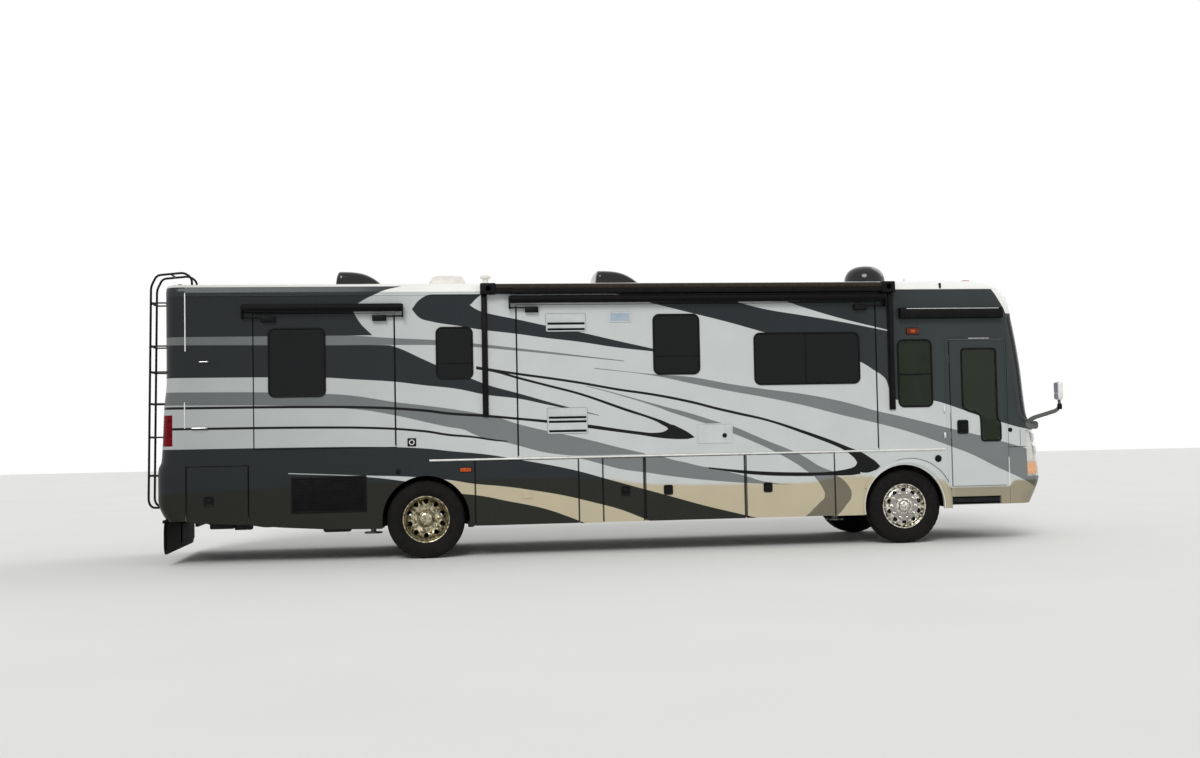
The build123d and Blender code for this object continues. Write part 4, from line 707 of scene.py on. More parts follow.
def tyre(y):
    # the section (radius, offset across) is turned about the axle; groove edges swing across by a zigzag of the
    # angle, and the shoulders step inwards at every sixth part of a tooth
    wall = np.array([
        (0.289, 0.07), (0.289, 0.094), (0.296, 0.1), (0.306, 0.1035), (0.318, 0.112), (0.335, 0.1225),
        (0.36, 0.132), (0.388, 0.137), (0.415, 0.1362), (0.436, 0.1335), (0.4385, 0.1352), (0.444, 0.1348),
        (0.447, 0.132), (0.466, 0.1285), (0.4685, 0.130), (0.474, 0.1285), (0.477, 0.1245), (0.487, 0.119),
        (0.4935, 0.112), (0.4968, 0.104)])
    tread = []
    for groove in wheelSizes["grooves"]:
        top = 0.4998 - 0.0028 * (groove / 0.104) ** 2
        low = top - wheelSizes["grooveDepth"]
        tread += [(top, groove - 0.0058, 1), (low, groove - 0.003, 1), (low, groove + 0.003, 1),
                  (top, groove + 0.0058, 1)]
    left = np.c_[wall[:, 0], -wall[:, 1], np.zeros(len(wall))]
    right = np.c_[wall[::-1, 0], wall[::-1, 1], np.zeros(len(wall))]
    section = np.vstack([left, tread, right])
    steps = wheelSizes["turns"]
    turn = np.arange(steps)
    angle = turn * 2 * math.pi / steps
    swing = wheelSizes["zigzag"] * np.array([0, 1, 0, -1])[turn % 4]
    notch = 0.005 * (turn % 6 < 2)
    shoulder = (section[:, 0] > 0.486) & (np.abs(section[:, 1]) > 0.1)
    radius = section[None, :, 0] - 0.4 * notch[:, None] * shoulder
    across = (section[None, :, 1] + swing[:, None] * section[None, :, 2]
              - np.sign(section[None, :, 1]) * notch[:, None] * shoulder)
    grid = np.stack([radius * np.cos(angle)[:, None], y + across,
                     wheelSizes["axleZ"] + radius * np.sin(angle)[:, None]], -1)
    return grid.reshape(-1, 3), ringFaces(steps, len(section), closeRings=True)


def moved(piece, x):
    # the piece moved by x along the coach
    return piece[0] + np.array([x, 0, 0]), piece[1]


def rimRing(y, side):
    # flanges, bead seats and drop centre of the rim, turned about the axle
    profile = [(0.2885, 0.07), (0.2885, 0.094), (0.2905, 0.0965), (0.2985, 0.0985), (0.3005, 0.1005),
               (0.3005, 0.1055), (0.2985, 0.107), (0.293, 0.1068), (0.288, 0.1045), (0.2835, 0.098),
               (0.281, 0.088), (0.279, 0.07), (0.272, 0.058), (0.262, 0.045), (0.262, -0.05), (0.279, -0.07),
               (0.281, -0.09), (0.288, -0.1045), (0.2985, -0.107), (0.3005, -0.1), (0.2905, -0.0965),
               (0.2885, -0.094), (0.2885, -0.07), (0.276, -0.05), (0.276, 0.05)]
    return lathe([(r, side * w) for r, w in profile], (0, y, wheelSizes["axleZ"]), steps=96)


def discWithHoles(profile, y, side, face):
    # the disc is turned, then the hand holes are cut with a chamfer that opens outwards
    disc = lathe([(r, side * w) for r, w in profile], (0, y, wheelSizes["axleZ"]), steps=120)
    hole = wheelSizes["holeRadius"]
    cutter = [(0, side * (face - 0.06)), (hole, side * (face - 0.06)), (hole, side * (face - 0.004)),
              (hole + 0.006, side * (face + 0.004)), (hole + 0.008, side * (face + 0.05)),
              (0, side * (face + 0.05))]
    knives = []
    for k in range(wheelSizes["handHoles"]):
        a = 2 * math.pi * (k + 0.5) / wheelSizes["handHoles"]
        spot = (wheelSizes["holePitch"] * math.cos(a), y,
                wheelSizes["axleZ"] + wheelSizes["holePitch"] * math.sin(a))
        knives.append(lathe(cutter, spot, steps=28))
    return carve([disc], knives)


def lugCovers(y, side, face, height):
    # chromed hats over the wheel nuts on their bolt circle
    profile = [(0, 0), (0.023, 0), (0.023, 0.004), (0.0185, 0.006), (0.0172, height - 0.009),
               (0.0145, height - 0.0035), (0.008, height - 0.0005), (0, height)]
    covers = []
    for k in range(wheelSizes["handHoles"]):
        a = 2 * math.pi * k / wheelSizes["handHoles"]
        spot = (wheelSizes["lugPitch"] * math.cos(a), y + side * face,
                wheelSizes["axleZ"] + wheelSizes["lugPitch"] * math.sin(a))
        covers.append(lathe([(r, side * w) for r, w in profile], spot, steps=20))
    return covers


def wheels():
    # profiles (radius, height from the wheel's middle plane) turned about each axle: x = r cos a, z = r sin a
    steerDisc = [(0.2635, 0.052), (0.258, 0.068), (0.248, 0.079), (0.236, 0.0845), (0.216, 0.087),
                 (0.19, 0.088), (0.1, 0.088), (0.1, 0.07), (0.19, 0.07), (0.215, 0.068), (0.232, 0.063),
                 (0.246, 0.05), (0.252, 0.035), (0.2635, 0.03)]
    steerHub = [(0, 0.136), (0.03, 0.1355), (0.055, 0.132), (0.066, 0.128), (0.072, 0.122), (0.076, 0.11),
                (0.082, 0.104), (0.1, 0.1), (0.112, 0.096), (0.118, 0.0885), (0.118, 0.086), (0, 0.086)]
    driveDisc = [(0.2735, 0.0985), (0.266, 0.086), (0.259, 0.071), (0.249, 0.054), (0.236, 0.04),
                 (0.218, 0.0275), (0.2, 0.0178), (0.185, 0.0145), (0.07, 0.014), (0.07, 0.0005), (0.2, 0.0005),
                 (0.214, 0.008), (0.232, 0.02), (0.247, 0.034), (0.2575, 0.048), (0.267, 0.065),
                 (0.2735, 0.082)]
    driveHub = [(0, 0.15), (0.03, 0.1495), (0.055, 0.147), (0.07, 0.143), (0.078, 0.137), (0.081, 0.13),
                (0.081, 0.112), (0.086, 0.108), (0.098, 0.104), (0.105, 0.098), (0.108, 0.088), (0.112, 0.03),
                (0.118, 0.018), (0.118, 0.0142), (0, 0.0142)]
    centre = wheelSizes["axleZ"]
    for side, name in ((1, "left"), (-1, "right")):
        y = side * wheelSizes["steerY"]
        x = x0 + xFront
        addPiece("steer" + name.title() + "Tyre", [moved(tyre(y), x)], "rubber", "front_" + name + "_wheel",
                 ["front_" + name + "_tyre"], angle=40)
        rim = [rimRing(y, side), discWithHoles(steerDisc, y, side, 0.087)]
        rim += lugCovers(y, side, 0.088, 0.036)
        rim.append(lathe([(r, side * w) for r, w in steerHub], (0, y, centre), steps=64))
        addPiece("steer" + name.title() + "Rim", [moved(p, x) for p in rim], "alloy",
                 "front_" + name + "_wheel", ["front_" + name + "_rim"], angle=28)
        dual = [moved(tyre(side * d), x0) for d in wheelSizes["dualY"]]
        addPiece("drive" + name.title() + "Tyres", dual, "rubber", "rear_" + name + "_wheels",
                 ["rear_" + name + "_tyres"], angle=40)
        mid = side * sum(wheelSizes["dualY"]) / 2
        rims = [rimRing(side * d, s) for d, s in zip(wheelSizes["dualY"], (side, -side))]
        rims += [discWithHoles(driveDisc, mid, s, 0.027) for s in (side, -side)]
        rims += lugCovers(mid, side, 0.014, 0.052)
        rims.append(lathe([(r, side * w) for r, w in driveHub], (0, mid, centre), steps=64))
        addPiece("drive" + name.title() + "Rims", [moved(p, x0) for p in rims], "driveAlloy",
                 "rear_" + name + "_wheels", ["rear_" + name + "_rims"], angle=28)


wheels()
print("wheels done")


# Windows
windowSizes = {"lip": 0.022, "glassProud": 0.004, "glassThick": 0.008}
frameSection = [(0.0003, 0.0), (0.009, 0.0), (0.0114, 0.0012), (0.012, 0.0035), (0.012, 0.0185),
                (0.0105, 0.0216), (0.0045, 0.0232), (-0.012, 0.0235), (-0.012, 0.0245), (0.0003, 0.0245)]
# holder, wall, x0, x1, z0, z1, corner radius, where the dividers stand ("v" upright at x, "h" level at z), glass
windows = [
    ("bedroom_slide", "right", -1.96, -1.24, 2.09, 2.975, 0.085, [], "glass"),
    ("coach", "right", 0.15, 0.63, 2.29, 2.97, 0.085, [("h", 2.50)], "glass"),
    ("main_slide", "right", 2.985, 3.615, 2.31, 3.115, 0.09, [("h", 2.56)], "glass"),
    ("main_slide", "right", 4.34, 5.8, 2.155, 2.855, 0.09, [("v", 5.05)], "glass"),
    ("coach", "right", 6.32, 6.81, 1.825, 2.745, 0.085, [("h", 2.27)], "cabGlass"),
    ("coach", "left", -2.0, -1.1, 2.15, 2.9, 0.085, [("v", -1.55)], "glass"),
    ("coach", "left", 0.25, 0.85, 2.35, 2.95, 0.085, [("h", 2.55)], "glass"),
    ("coach", "left", 2.7, 4.1, 2.15, 2.9, 0.09, [("v", 3.4)], "glass"),
    ("coach", "left", 4.9, 5.9, 2.15, 2.9, 0.09, [("v", 5.4)], "glass"),
    ("coach", "left", 7.08, 7.78, 1.85, 2.88, 0.085, [("v", 7.45)], "cabGlass"),
]


def windowFrames():
    # frames are one section carried round each rounded outline; panes are thin plates inside them
    frames, panes = {}, {}
    for holder, wall, xa, xb, za, zb, radius, dividers, glass in windows:
        outline = roundedOutline(xa, xb, za, zb, radius, 8)
        if wall == "left":
            outline = outline[::-1]
        turn = 1 if wall == "right" else -1
        section = [(w, turn * inset) for w, inset in frameSection]
        frames.setdefault(holder, []).append(surround(outline, section, wall))
        inset = turn * (windowSizes["lip"] + 0.0015)
        proud, thick = windowSizes["glassProud"], windowSizes["glassThick"]
        panes.setdefault((holder, glass), []).append(
            moulding(outline, [(proud - thick, inset), (proud - 0.001, inset),
                               (proud, inset + turn * 0.001)], wall))
        sign = -1 if wall == "right" else 1
        for kind, at in dividers:
            lip = windowSizes["lip"]
            if kind == "v":
                lo, hi = (at - 0.011, za + lip), (at + 0.011, zb - lip)
            else:
                lo, hi = (xa + lip, at - 0.011), (xb - lip, at + 0.011)
            y = sorted((sign * (wallY - 0.003), sign * (wallY + 0.008)))
            frames[holder].append(softFit(lo[0], hi[0], y[0], y[1], lo[1], hi[1], 0.003))
    nodes = {"coach": "wall_windows", "main_slide": "main_slide_windows",
             "bedroom_slide": "bedroom_slide_windows"}
    for holder, pieces in frames.items():
        addPiece(holder.split("_")[0] + "WindowFrames", pieces, "black", holder, [nodes[holder]])
    for (holder, glass), pieces in panes.items():
        addPiece(holder.split("_")[0] + glass[0].upper() + glass[1:] + "Panes", pieces, glass, holder,
                 [nodes[holder]])


# Entry door window: a tall pane with a foot that drops beside the latch
doorPane = [(7.212, 1.80), (7.30, 1.748), (7.40, 1.732), (7.462, 1.70), (7.468, 1.345), (7.765, 1.345),
            (7.765, 1.60), (7.722, 1.66), (7.722, 2.618), (7.212, 2.618)]


def doorWindow():
    # the pane and its black frame follow the same rounded outline
    outline = roundPolygon(doorPane, 0.055)
    section = [(0.0003, 0.0), (0.0075, 0.0), (0.0095, 0.0012), (0.010, 0.003), (0.010, 0.0175),
               (0.0085, 0.0206), (0.004, 0.022), (-0.010, 0.0222), (-0.010, 0.023), (0.0003, 0.023)]
    addPiece("entryDoorWindowFrame", [surround(outline, section)], "black", "entry_door", ["entry_door_window"])
    addPiece("entryDoorPane", [moulding(outline, [(-0.004, 0.0222), (0.002, 0.0222), (0.003, 0.0232)])],
             "cabGlass", "entry_door", ["entry_door_window"])


windowFrames()
doorWindow()
print("windows done")


# Awnings on the right wall


def alongX(section, xa, xb, side=-1):
    # a closed section (stand-off, z) carried from xa to xb, with its ends closed
    section = np.asarray(section, float)
    grid = np.stack([np.c_[np.full(len(section), x + x0), side * (wallY + section[:, 0]), section[:, 1]]
                     for x in (xa, xb)])
    return grid.reshape(-1, 3), ringFaces(2, len(section))


def rod(xa, xb, w, z, radius, sides=24):
    # a straight round bar along the right wall, w out from it
    return tube([(xa + x0, -wallY - w, z), (xb + x0, -wallY - w, z)], radius, sides)


patio = {"x0": 0.93, "x1": 6.10, "caps": ((0.73, 0.93), (6.10, 6.285)),
         "arms": ((0.742, 0.818), (6.192, 6.276)), "armFoot": 1.80, "rollZ": 3.474, "rollRadius": 0.036}


def patioAwning():
    # rail, end caps and folding arms as carried sections and rounded boxes, and the rolled cloth as a bar
    rail = [(0.001, 3.386), (0.078, 3.386), (0.096, 3.390), (0.103, 3.400), (0.105, 3.414), (0.105, 3.432),
            (0.099, 3.437), (0.094, 3.446), (0.020, 3.446), (0.020, 3.516), (0.001, 3.516)]
    lip = [(0.020, 3.505), (0.050, 3.512), (0.052, 3.517), (0.020, 3.5165)]
    dark = [alongX(rail, patio["x0"], patio["x1"]), alongX(lip, patio["x0"], patio["x1"])]
    for xa, xb in patio["caps"]:
        dark.append(softFit(xa, xb, -wallY - 0.112, -wallY, 3.376, 3.524, 0.014, axis=0))
        middle = (xa + xb) / 2
        dark.append(lathe([(0, 0), (0.034, 0), (0.034, 0.004), (0.028, 0.0065), (0, 0.0068)],
                          (middle + x0, -wallY - 0.112, 3.452), steps=32))
    for xa, xb in patio["arms"]:
        for za, zb, w0, w1, inset in ((patio["armFoot"], 3.376, 0.0, 0.026, 0.0),
                                      (1.83, 3.376, 0.026, 0.044, 0.008), (1.86, 3.33, 0.044, 0.060, 0.017)):
            dark.append(softFit(xa + inset, xb - inset, -wallY - w1, -wallY - w0, za, zb, 0.004, axis=2))
        for z in (1.90, 2.62, 3.30):
            pin = [(0, 0.058), (0.016, 0.058), (0.016, 0.0605), (0.012, 0.0618), (0, 0.062)]
            dark.append(knob(pin, (xa + xb) / 2, z, steps=20))
    addPiece("patioAwningHardware", dark, "black", "coach", ["awnings"])
    roll = rod(patio["x0"], patio["x1"], 0.062, patio["rollZ"], patio["rollRadius"], 28)
    addPiece("patioAwningRoll", [roll], "awningVinyl", "coach", ["awnings"])


def doorAwning():
    # one rounded case section carried along the wall, with end caps and a bright line
    case = [(0.001, 3.022), (0.070, 3.022), (0.090, 3.029), (0.102, 3.048), (0.105, 3.075), (0.105, 3.118),
            (0.098, 3.142), (0.082, 3.158), (0.055, 3.166), (0.001, 3.168)]
    dark = [alongX(case, 6.40, 7.75)]
    for xa, xb in ((6.35, 6.40), (7.75, 7.80)):
        dark.append(softFit(xa, xb, -wallY - 0.105, -wallY, 3.022, 3.168, 0.012, axis=0))
    addPiece("doorAwningCase", dark, "black", "coach", ["awnings"])
    line = [(0.0845, 3.150), (0.0905, 3.1465), (0.0935, 3.1505), (0.088, 3.1565)]
    addPiece("doorAwningTrim", [alongX(line, 6.44, 7.74)], "silverTrim", "coach", ["awnings"])


# body, x0, x1, roller z, radius, block z, block spans
toppers = [("main_slide", 1.095, 6.16, 3.316, 0.050, 3.18, ((1.31, 1.48), (5.73, 5.90))),
           ("bedroom_slide", -2.28, -0.255, 3.222, 0.052, 3.085, ((-2.04, -1.86), (-0.65, -0.47)))]


def slideToppers():
    # over each slide-out: a rolled cloth as a bar, its end caps, blocks on the wall and arms between them
    for body, xa, xb, z, radius, blockZ, blocks in toppers:
        roller = rod(xa + 0.02, xb - 0.02, 0.062, z, radius - 0.001, 28)
        seam = [alongX([(0.075, z - radius - 0.003), (0.095, z - radius + 0.0015), (0.095, z - radius + 0.0105),
                        (0.075, z - radius + 0.006)], xa + 0.05, xb - 0.05)]
        addPiece(body.split("_")[0] + "TopperRoll", [roller], "topperVinyl", body, [body + "_awning"])
        dark = seam
        for ea, eb in ((xa, xa + 0.02), (xb - 0.02, xb)):
            dark.append(softFit(ea, eb, -wallY - 0.107, -wallY - 0.022, blockZ + 0.005, z + 0.04,
                                0.006, axis=0))
        for ba, bb in blocks:
            dark.append(softFit(ba, bb, -wallY - 0.060, -wallY, blockZ - 0.035, blockZ + 0.040, 0.008, axis=0))
        for end, (ba, bb) in zip((xa + 0.02, xb - 0.02), blocks):
            dark.append(softFit(min(end, ba), max(end, bb), -wallY - 0.058, -wallY - 0.030, blockZ + 0.015,
                                blockZ + 0.035, 0.004, axis=0))
        addPiece(body.split("_")[0] + "TopperBrackets", dark, "black", body, [body + "_awning"])


patioAwning()
doorAwning()
slideToppers()
print("awnings done")


# Front and rear caps
capSizes = {"splitZ": 1.265, "gap": 0.009, "wall": 0.042, "roofEdge": 3.43, "cornerX": 7.6, "cornerZ": 3.0}
# height, foremost x on the centre line, half width
frontLevels = [(0.5, 8.42, 1.275), (0.7, 8.52, 1.275), (0.87, 8.572, 1.275), (1.265, 8.53, 1.275),
               (1.5, 8.49, 1.275), (1.7, 8.42, 1.275), (2.4, 8.345, 1.275), (3.15, 8.215, 1.275),
               (3.33, 8.16, 1.275), (3.43, 8.09, 1.275), (3.5, 7.99, 1.255), (3.53, 7.89, 1.21),
               (3.56, 7.72, 1.0), (3.58, 7.35, 0.4)]
rearLevels = [(0.56, 3.306, 1.275), (0.65, 3.367, 1.275), (0.8, 3.418, 1.275), (1.2, 3.418, 1.275),
              (1.3, 3.377, 1.275), (1.4, 3.367, 1.275), (2.0, 3.337, 1.275), (2.3, 3.306, 1.275),
              (3.43, 3.306, 1.275), (3.5, 3.3, 1.255), (3.53, 3.285, 1.21), (3.56, 3.26, 1.0),
              (3.58, 3.22, 0.4)]
frontShape = {"levels": frontLevels, "bow": 3.0, "corner": 0.3, "end": 1, "back": 6.95}
rearShape = {"levels": rearLevels, "bow": 8.0, "corner": 0.2, "end": -1, "back": 2.98}


def easedCurve(z, knots, values):
    # cubic pieces through the knots with slopes limited so that the curve never overshoots between two levels
    knots, values = np.asarray(knots, float), np.asarray(values, float)
    step = np.diff(knots)
    slope = np.diff(values) / step
    inner = np.where(slope[:-1] * slope[1:] > 0,
                     2 * slope[:-1] * slope[1:] / (slope[:-1] + slope[1:] + 1e-12), 0)
    tangent = np.r_[slope[0], inner, slope[-1]]
    k = np.clip(np.searchsorted(knots, z) - 1, 0, len(step) - 1)
    t = (z - knots[k]) / step[k]
    return ((2 * t ** 3 - 3 * t ** 2 + 1) * values[k] + (t ** 3 - 2 * t ** 2 + t) * step[k] * tangent[k]
            + (3 * t ** 2 - 2 * t ** 3) * values[k + 1] + (t ** 3 - t ** 2) * step[k] * tangent[k + 1])


def capPlan(shape, z, inset, angles):
    # plan curve at height z: a wide bow that meets two corner arcs, as points at the given normal directions
    knots = [row[0] for row in shape["levels"]]
    nose = easedCurve(z, knots, [row[1] for row in shape["levels"]]) - inset
    half = easedCurve(z, knots, [row[2] for row in shape["levels"]]) - inset
    bow, corner = shape["bow"] - inset, shape["corner"] - inset
    turn = np.arcsin(np.clip((half - corner) / (bow - corner), 0, 0.999))
    nose, half, turn = nose[:, None], half[:, None], turn[:, None]
    # directions from -1 to 1: the middle half spans the bow, the outer quarters the corners
    d = np.asarray(angles)[None, :]
    phi = np.where(np.abs(d) < 0.5, turn * d / 0.5,
                   np.sign(d) * (turn + (math.pi / 2 - turn) * (np.abs(d) - 0.5) / 0.5))
    onBow = np.abs(d) < 0.5
    x = np.where(onBow, nose - bow + bow * np.cos(phi),
                 nose - bow + (bow - corner) * np.cos(turn) + corner * np.cos(phi))
    y = np.where(onBow, bow * np.sin(phi), np.sign(d) * (half - corner) + corner * np.sin(phi))
    return x, y


def capX(y, z, shape=frontShape):
    # distance of a cap's bow from the rear axle at (y, z)
    nose = float(easedCurve(np.array([z]), [r[0] for r in shape["levels"]], [r[1] for r in shape["levels"]])[0])
    return shape["end"] * (nose - shape["bow"] + math.sqrt(shape["bow"] ** 2 - y * y))


def capBody(shape, inset=0.0, back=None):
    # the whole cap as one closed solid: plan curves stacked by height
    knots = np.array([row[0] for row in shape["levels"]])
    z = np.unique(np.round(np.r_[np.linspace(0.5 if shape["end"] > 0 else 0.56, 3.43, 44),
                                 np.linspace(3.43, 3.58, 9)], 4))
    z = z[z >= knots[0]]
    angles = np.r_[np.linspace(-1, -0.5, 11), np.linspace(-0.5, 0.5, 27)[1:-1], np.linspace(0.5, 1, 11)]
    x, y = capPlan(shape, z, inset, angles)
    back = shape["back"] if back is None else back
    height = z - inset * (z > 3.4) - (0.02 if inset else 0) * (z <= z[0] + 1e-6)
    x = np.c_[np.full(len(z), back - (0.02 if inset else 0)), x, np.full(len(z), back - (0.02 if inset else 0))]
    y = np.c_[y[:, :1], y, y[:, -1:]]
    grid = np.stack([shape["end"] * x + x0, y, np.repeat(height[:, None], x.shape[1], 1)], -1)
    return grid.reshape(-1, 3), ringFaces(len(z), x.shape[1])


screenSizes = {"half": 1.24, "z": (1.61, 3.11), "radius": 0.13, "edge": 0.045}
lampZones = [(8.118, 8.8, side * 0.79, side * 1.3, 0.86, 1.49) for side in (-1, 1)]


def frontCap():
    # the hollow cap is cut into upper and lower panel; bars and glass are thin shells of the same form
    shell = carve([capBody(frontShape)], [capBody(frontShape, capSizes["wall"])])
    opening = roundedOutline(-screenSizes["half"], screenSizes["half"], *screenSizes["z"],
                             screenSizes["radius"], 8)
    knives = [prism(opening, 7.80, 9.0)] + [fit(z[0], z[1], min(z[2:4]), max(z[2:4]), z[4], z[5])
                                            for z in lampZones]
    half = capSizes["gap"] / 2
    shell = carve([shell], [fit(6.5, 7.864, -1.5, 1.5, 0.2, capSizes["cornerZ"])])
    shell = carve([shell], [fit(6.5, capSizes["cornerX"], -1.5, 1.5, capSizes["cornerZ"] - 0.1,
                                capSizes["roofEdge"])])
    upper = carve([shell], knives)
    upper = carve([upper], [fit(6.5, 9.0, -1.6, 1.6, 0.1, capSizes["splitZ"] + half)])
    addPiece("frontCapPanel", [upper], "paint", "coach", ["front_cap"], angle=30)
    intakes = [fit(8.1, 8.8, -0.48, 0.48, 0.9, 1.13), fit(8.1, 8.8, -0.62, 0.62, 0.59, 0.74)]
    lower = carve([shell], knives[1:] + intakes)
    lower = carve([lower], [fit(6.5, 9.0, -1.6, 1.6, capSizes["splitZ"] - half, 3.8)])
    addPiece("frontLowerPanel", [lower], "paint", "coach", ["front_lower_cap"], angle=30)
    bars = [fit(8.1, 8.8, -0.49, 0.49, z - 0.008, z + 0.008) for z in (0.93, 0.965, 1.0, 1.035, 1.07, 1.1)]
    bars += [fit(8.1, 8.8, -0.63, 0.63, z - 0.006, z + 0.006) for z in (0.615, 0.645, 0.675, 0.705, 0.728)]
    thin = carve([capBody(frontShape, 0.006)], [capBody(frontShape, 0.03)])
    addPiece("intakeBars", [carve([thin], bars, "INTERSECT")], "black", "coach", ["front_lower_cap"],
             angle=30)

    # windscreen: the pane, then its black rubber and printed edge as a ring of the same surface
    edge = screenSizes["edge"]
    inner = roundedOutline(edge - screenSizes["half"], screenSizes["half"] - edge, screenSizes["z"][0] + edge,
                           screenSizes["z"][1] - edge, screenSizes["radius"] - 0.03, 8)
    glassSkin = carve([capBody(frontShape, 0.004)], [capBody(frontShape, 0.011)])
    pane = carve([glassSkin], [prism(inner, 7.80, 9.0)], "INTERSECT")
    addPiece("windscreenPane", [pane], "screen", "coach", ["windscreen"], angle=30)
    rubberSkin = carve([capBody(frontShape, 0.0015)], [capBody(frontShape, 0.018)])
    slim = roundedOutline(0.003 - screenSizes["half"], screenSizes["half"] - 0.003, screenSizes["z"][0] + 0.003,
                          screenSizes["z"][1] - 0.003, screenSizes["radius"], 8)
    ring = carve([rubberSkin], [prism(slim, 7.80, 9.0)], "INTERSECT")
    ring = carve([ring], [prism(inner, 7.5, 9.2)])
    addPiece("windscreenSurround", [ring], "black", "coach", ["windscreen"], angle=30)


def insetZone(zone, edge):
    # a lamp's cutting box drawn in by edge at its top, foot, rear and inner side
    ya, yb = sorted(zone[2:4])
    ya, yb = (ya - 0.05, yb - edge) if ya < 0 else (ya + edge, yb + 0.05)
    return fit(zone[0] + edge, zone[1], ya, yb, zone[4] + edge, zone[5] - edge)


def headlamps():
    # lens, tub and turn lamp are shells of the cap's own form at three depths; the bowls are turned
    lensSkin = carve([capBody(frontShape, 0.003)], [capBody(frontShape, 0.009)])
    lens = carve([lensSkin], [insetZone(zone, 0.002) for zone in lampZones], "INTERSECT")
    addPiece("headlampLenses", [lens], "clearLens", "coach", ["headlamps"], angle=30)
    # behind each lens: a bright tub and two round reflectors with their bulbs, and an amber turn lamp
    tubSkin = carve([capBody(frontShape, 0.045)], [capBody(frontShape, 0.06)])
    tub = carve([tubSkin], [insetZone(zone, 0.002) for zone in lampZones], "INTERSECT")
    addPiece("headlampTubs", [tub], "white", "coach", ["headlamps"], angle=30)
    bright, amber = [], []
    for side in (-1, 1):
        for z, radius in ((1.39, 0.072), (1.215, 0.072)):
            y = side * 0.94
            x = capX(y, z) - 0.012 + x0
            bowl = [(0.012, -0.032), (radius * 0.55, -0.024), (radius * 0.85, -0.008), (radius, 0),
                    (radius * 1.06, 0.0), (radius * 1.06, -0.035), (0.012, -0.04)]
            bright.append(lathe(bowl, (x, y, z), axis=0, steps=36))
            bright.append(lathe([(0, -0.036), (0.012, -0.036), (0.012, -0.012), (0.007, -0.004), (0, -0.002)],
                                (x, y, z), axis=0, steps=16))
    addPiece("headlampReflectors", bright, "chrome", "coach", ["headlamps"], angle=30)
    turnSkin = carve([capBody(frontShape, 0.018)], [capBody(frontShape, 0.03)])
    zones = [fit(8.13, 8.8, min(side * 0.80, side * 1.3), max(side * 0.80, side * 1.3), 0.895, 1.05)
             for side in (-1, 1)]
    amber.append(carve([turnSkin], zones, "INTERSECT"))
    addPiece("headlampTurnLamps", amber, "turnAmber", "coach", ["headlamps"])


def rearCap():
    # the engine door is cut from the cap's own shell with a gap all round; lamps are thin shells of it
    shell = carve([capBody(rearShape)], [capBody(rearShape, capSizes["wall"])])
    tails = [fit(-3.5, -3.135, min(side * 1.01, side * 1.3), max(side * 1.01, side * 1.3), 1.5, 1.89)
             for side in (-1, 1)]
    gap = 0.008
    opening = prism(roundedOutline(-0.52 - gap, 0.82 + gap, 0.76 - gap, 1.72 + gap, 0.03), -3.6, -3.2)
    door = prism(roundedOutline(-0.52, 0.82, 0.76, 1.72, 0.025), -3.6, -3.2)
    addPiece("rearCapPanel", [carve([shell], [opening] + tails)], "paint", "coach", ["rear_cap"], angle=30)
    addPiece("engineDoorPanel", [carve([shell], [door], "INTERSECT")], "paint", "engine_door", ["engine_door"],
             angle=30)
    lensSkin = carve([capBody(rearShape, 0.002)], [capBody(rearShape, 0.02)])
    zones = [fit(-3.5, -3.137, min(side * 1.012, side * 1.3), max(side * 1.012, side * 1.3), 1.502, 1.888)
             for side in (-1, 1)]
    addPiece("tailLampLenses", [carve([lensSkin], zones, "INTERSECT")], "red", "coach", ["tail_lamps"],
             angle=30)
    ribs = []
    for side in (-1, 1):
        ya, yb = sorted((side * 1.02, side * 1.262))
        ribs += [fit(-3.5, -3.15, ya, yb, z, z + 0.004) for z in np.linspace(1.53, 1.86, 9)]
    ribSkin = carve([capBody(rearShape, -0.0015)], [capBody(rearShape, 0.006)])
    addPiece("tailLampRibs", [carve([ribSkin], ribs, "INTERSECT")], "red", "coach", ["tail_lamps"], angle=30)


frontCap()
headlamps()
rearCap()
print("caps done")


# Roof equipment


def airUnit(start):
    # a shroud: its height falls from the rear with the power 3.2 of the length, and its cross-section is a
    # squared ellipse of power 5
    length, high, half = 0.66, 0.242, 0.34
    u = np.linspace(0, 1, 36)
    fall = np.clip(1 - 0.95 * (np.clip(u - 0.08, 0, 1) / 0.92) ** 3.2, 0.05, 1)
    top = high * np.minimum(1, (u / 0.07) ** 0.35) * fall
    wide = half * (1 - 0.16 * u ** 2) * np.minimum(1, 0.90 + 0.1 * np.minimum(1, u / 0.1))
    t = np.linspace(0, math.pi, 33)
    c, s = np.cos(t), np.sin(t)
    y = np.sign(c) * np.abs(c) ** 0.4
    z = np.abs(s) ** 0.4
    grid = np.stack([np.repeat((start + length * u)[:, None], len(t), 1) + x0, wide[:, None] * y,
                     3.572 + 0.008 + top[:, None] * z], -1)
    return grid.reshape(-1, 3), ringFaces(len(u), len(t))


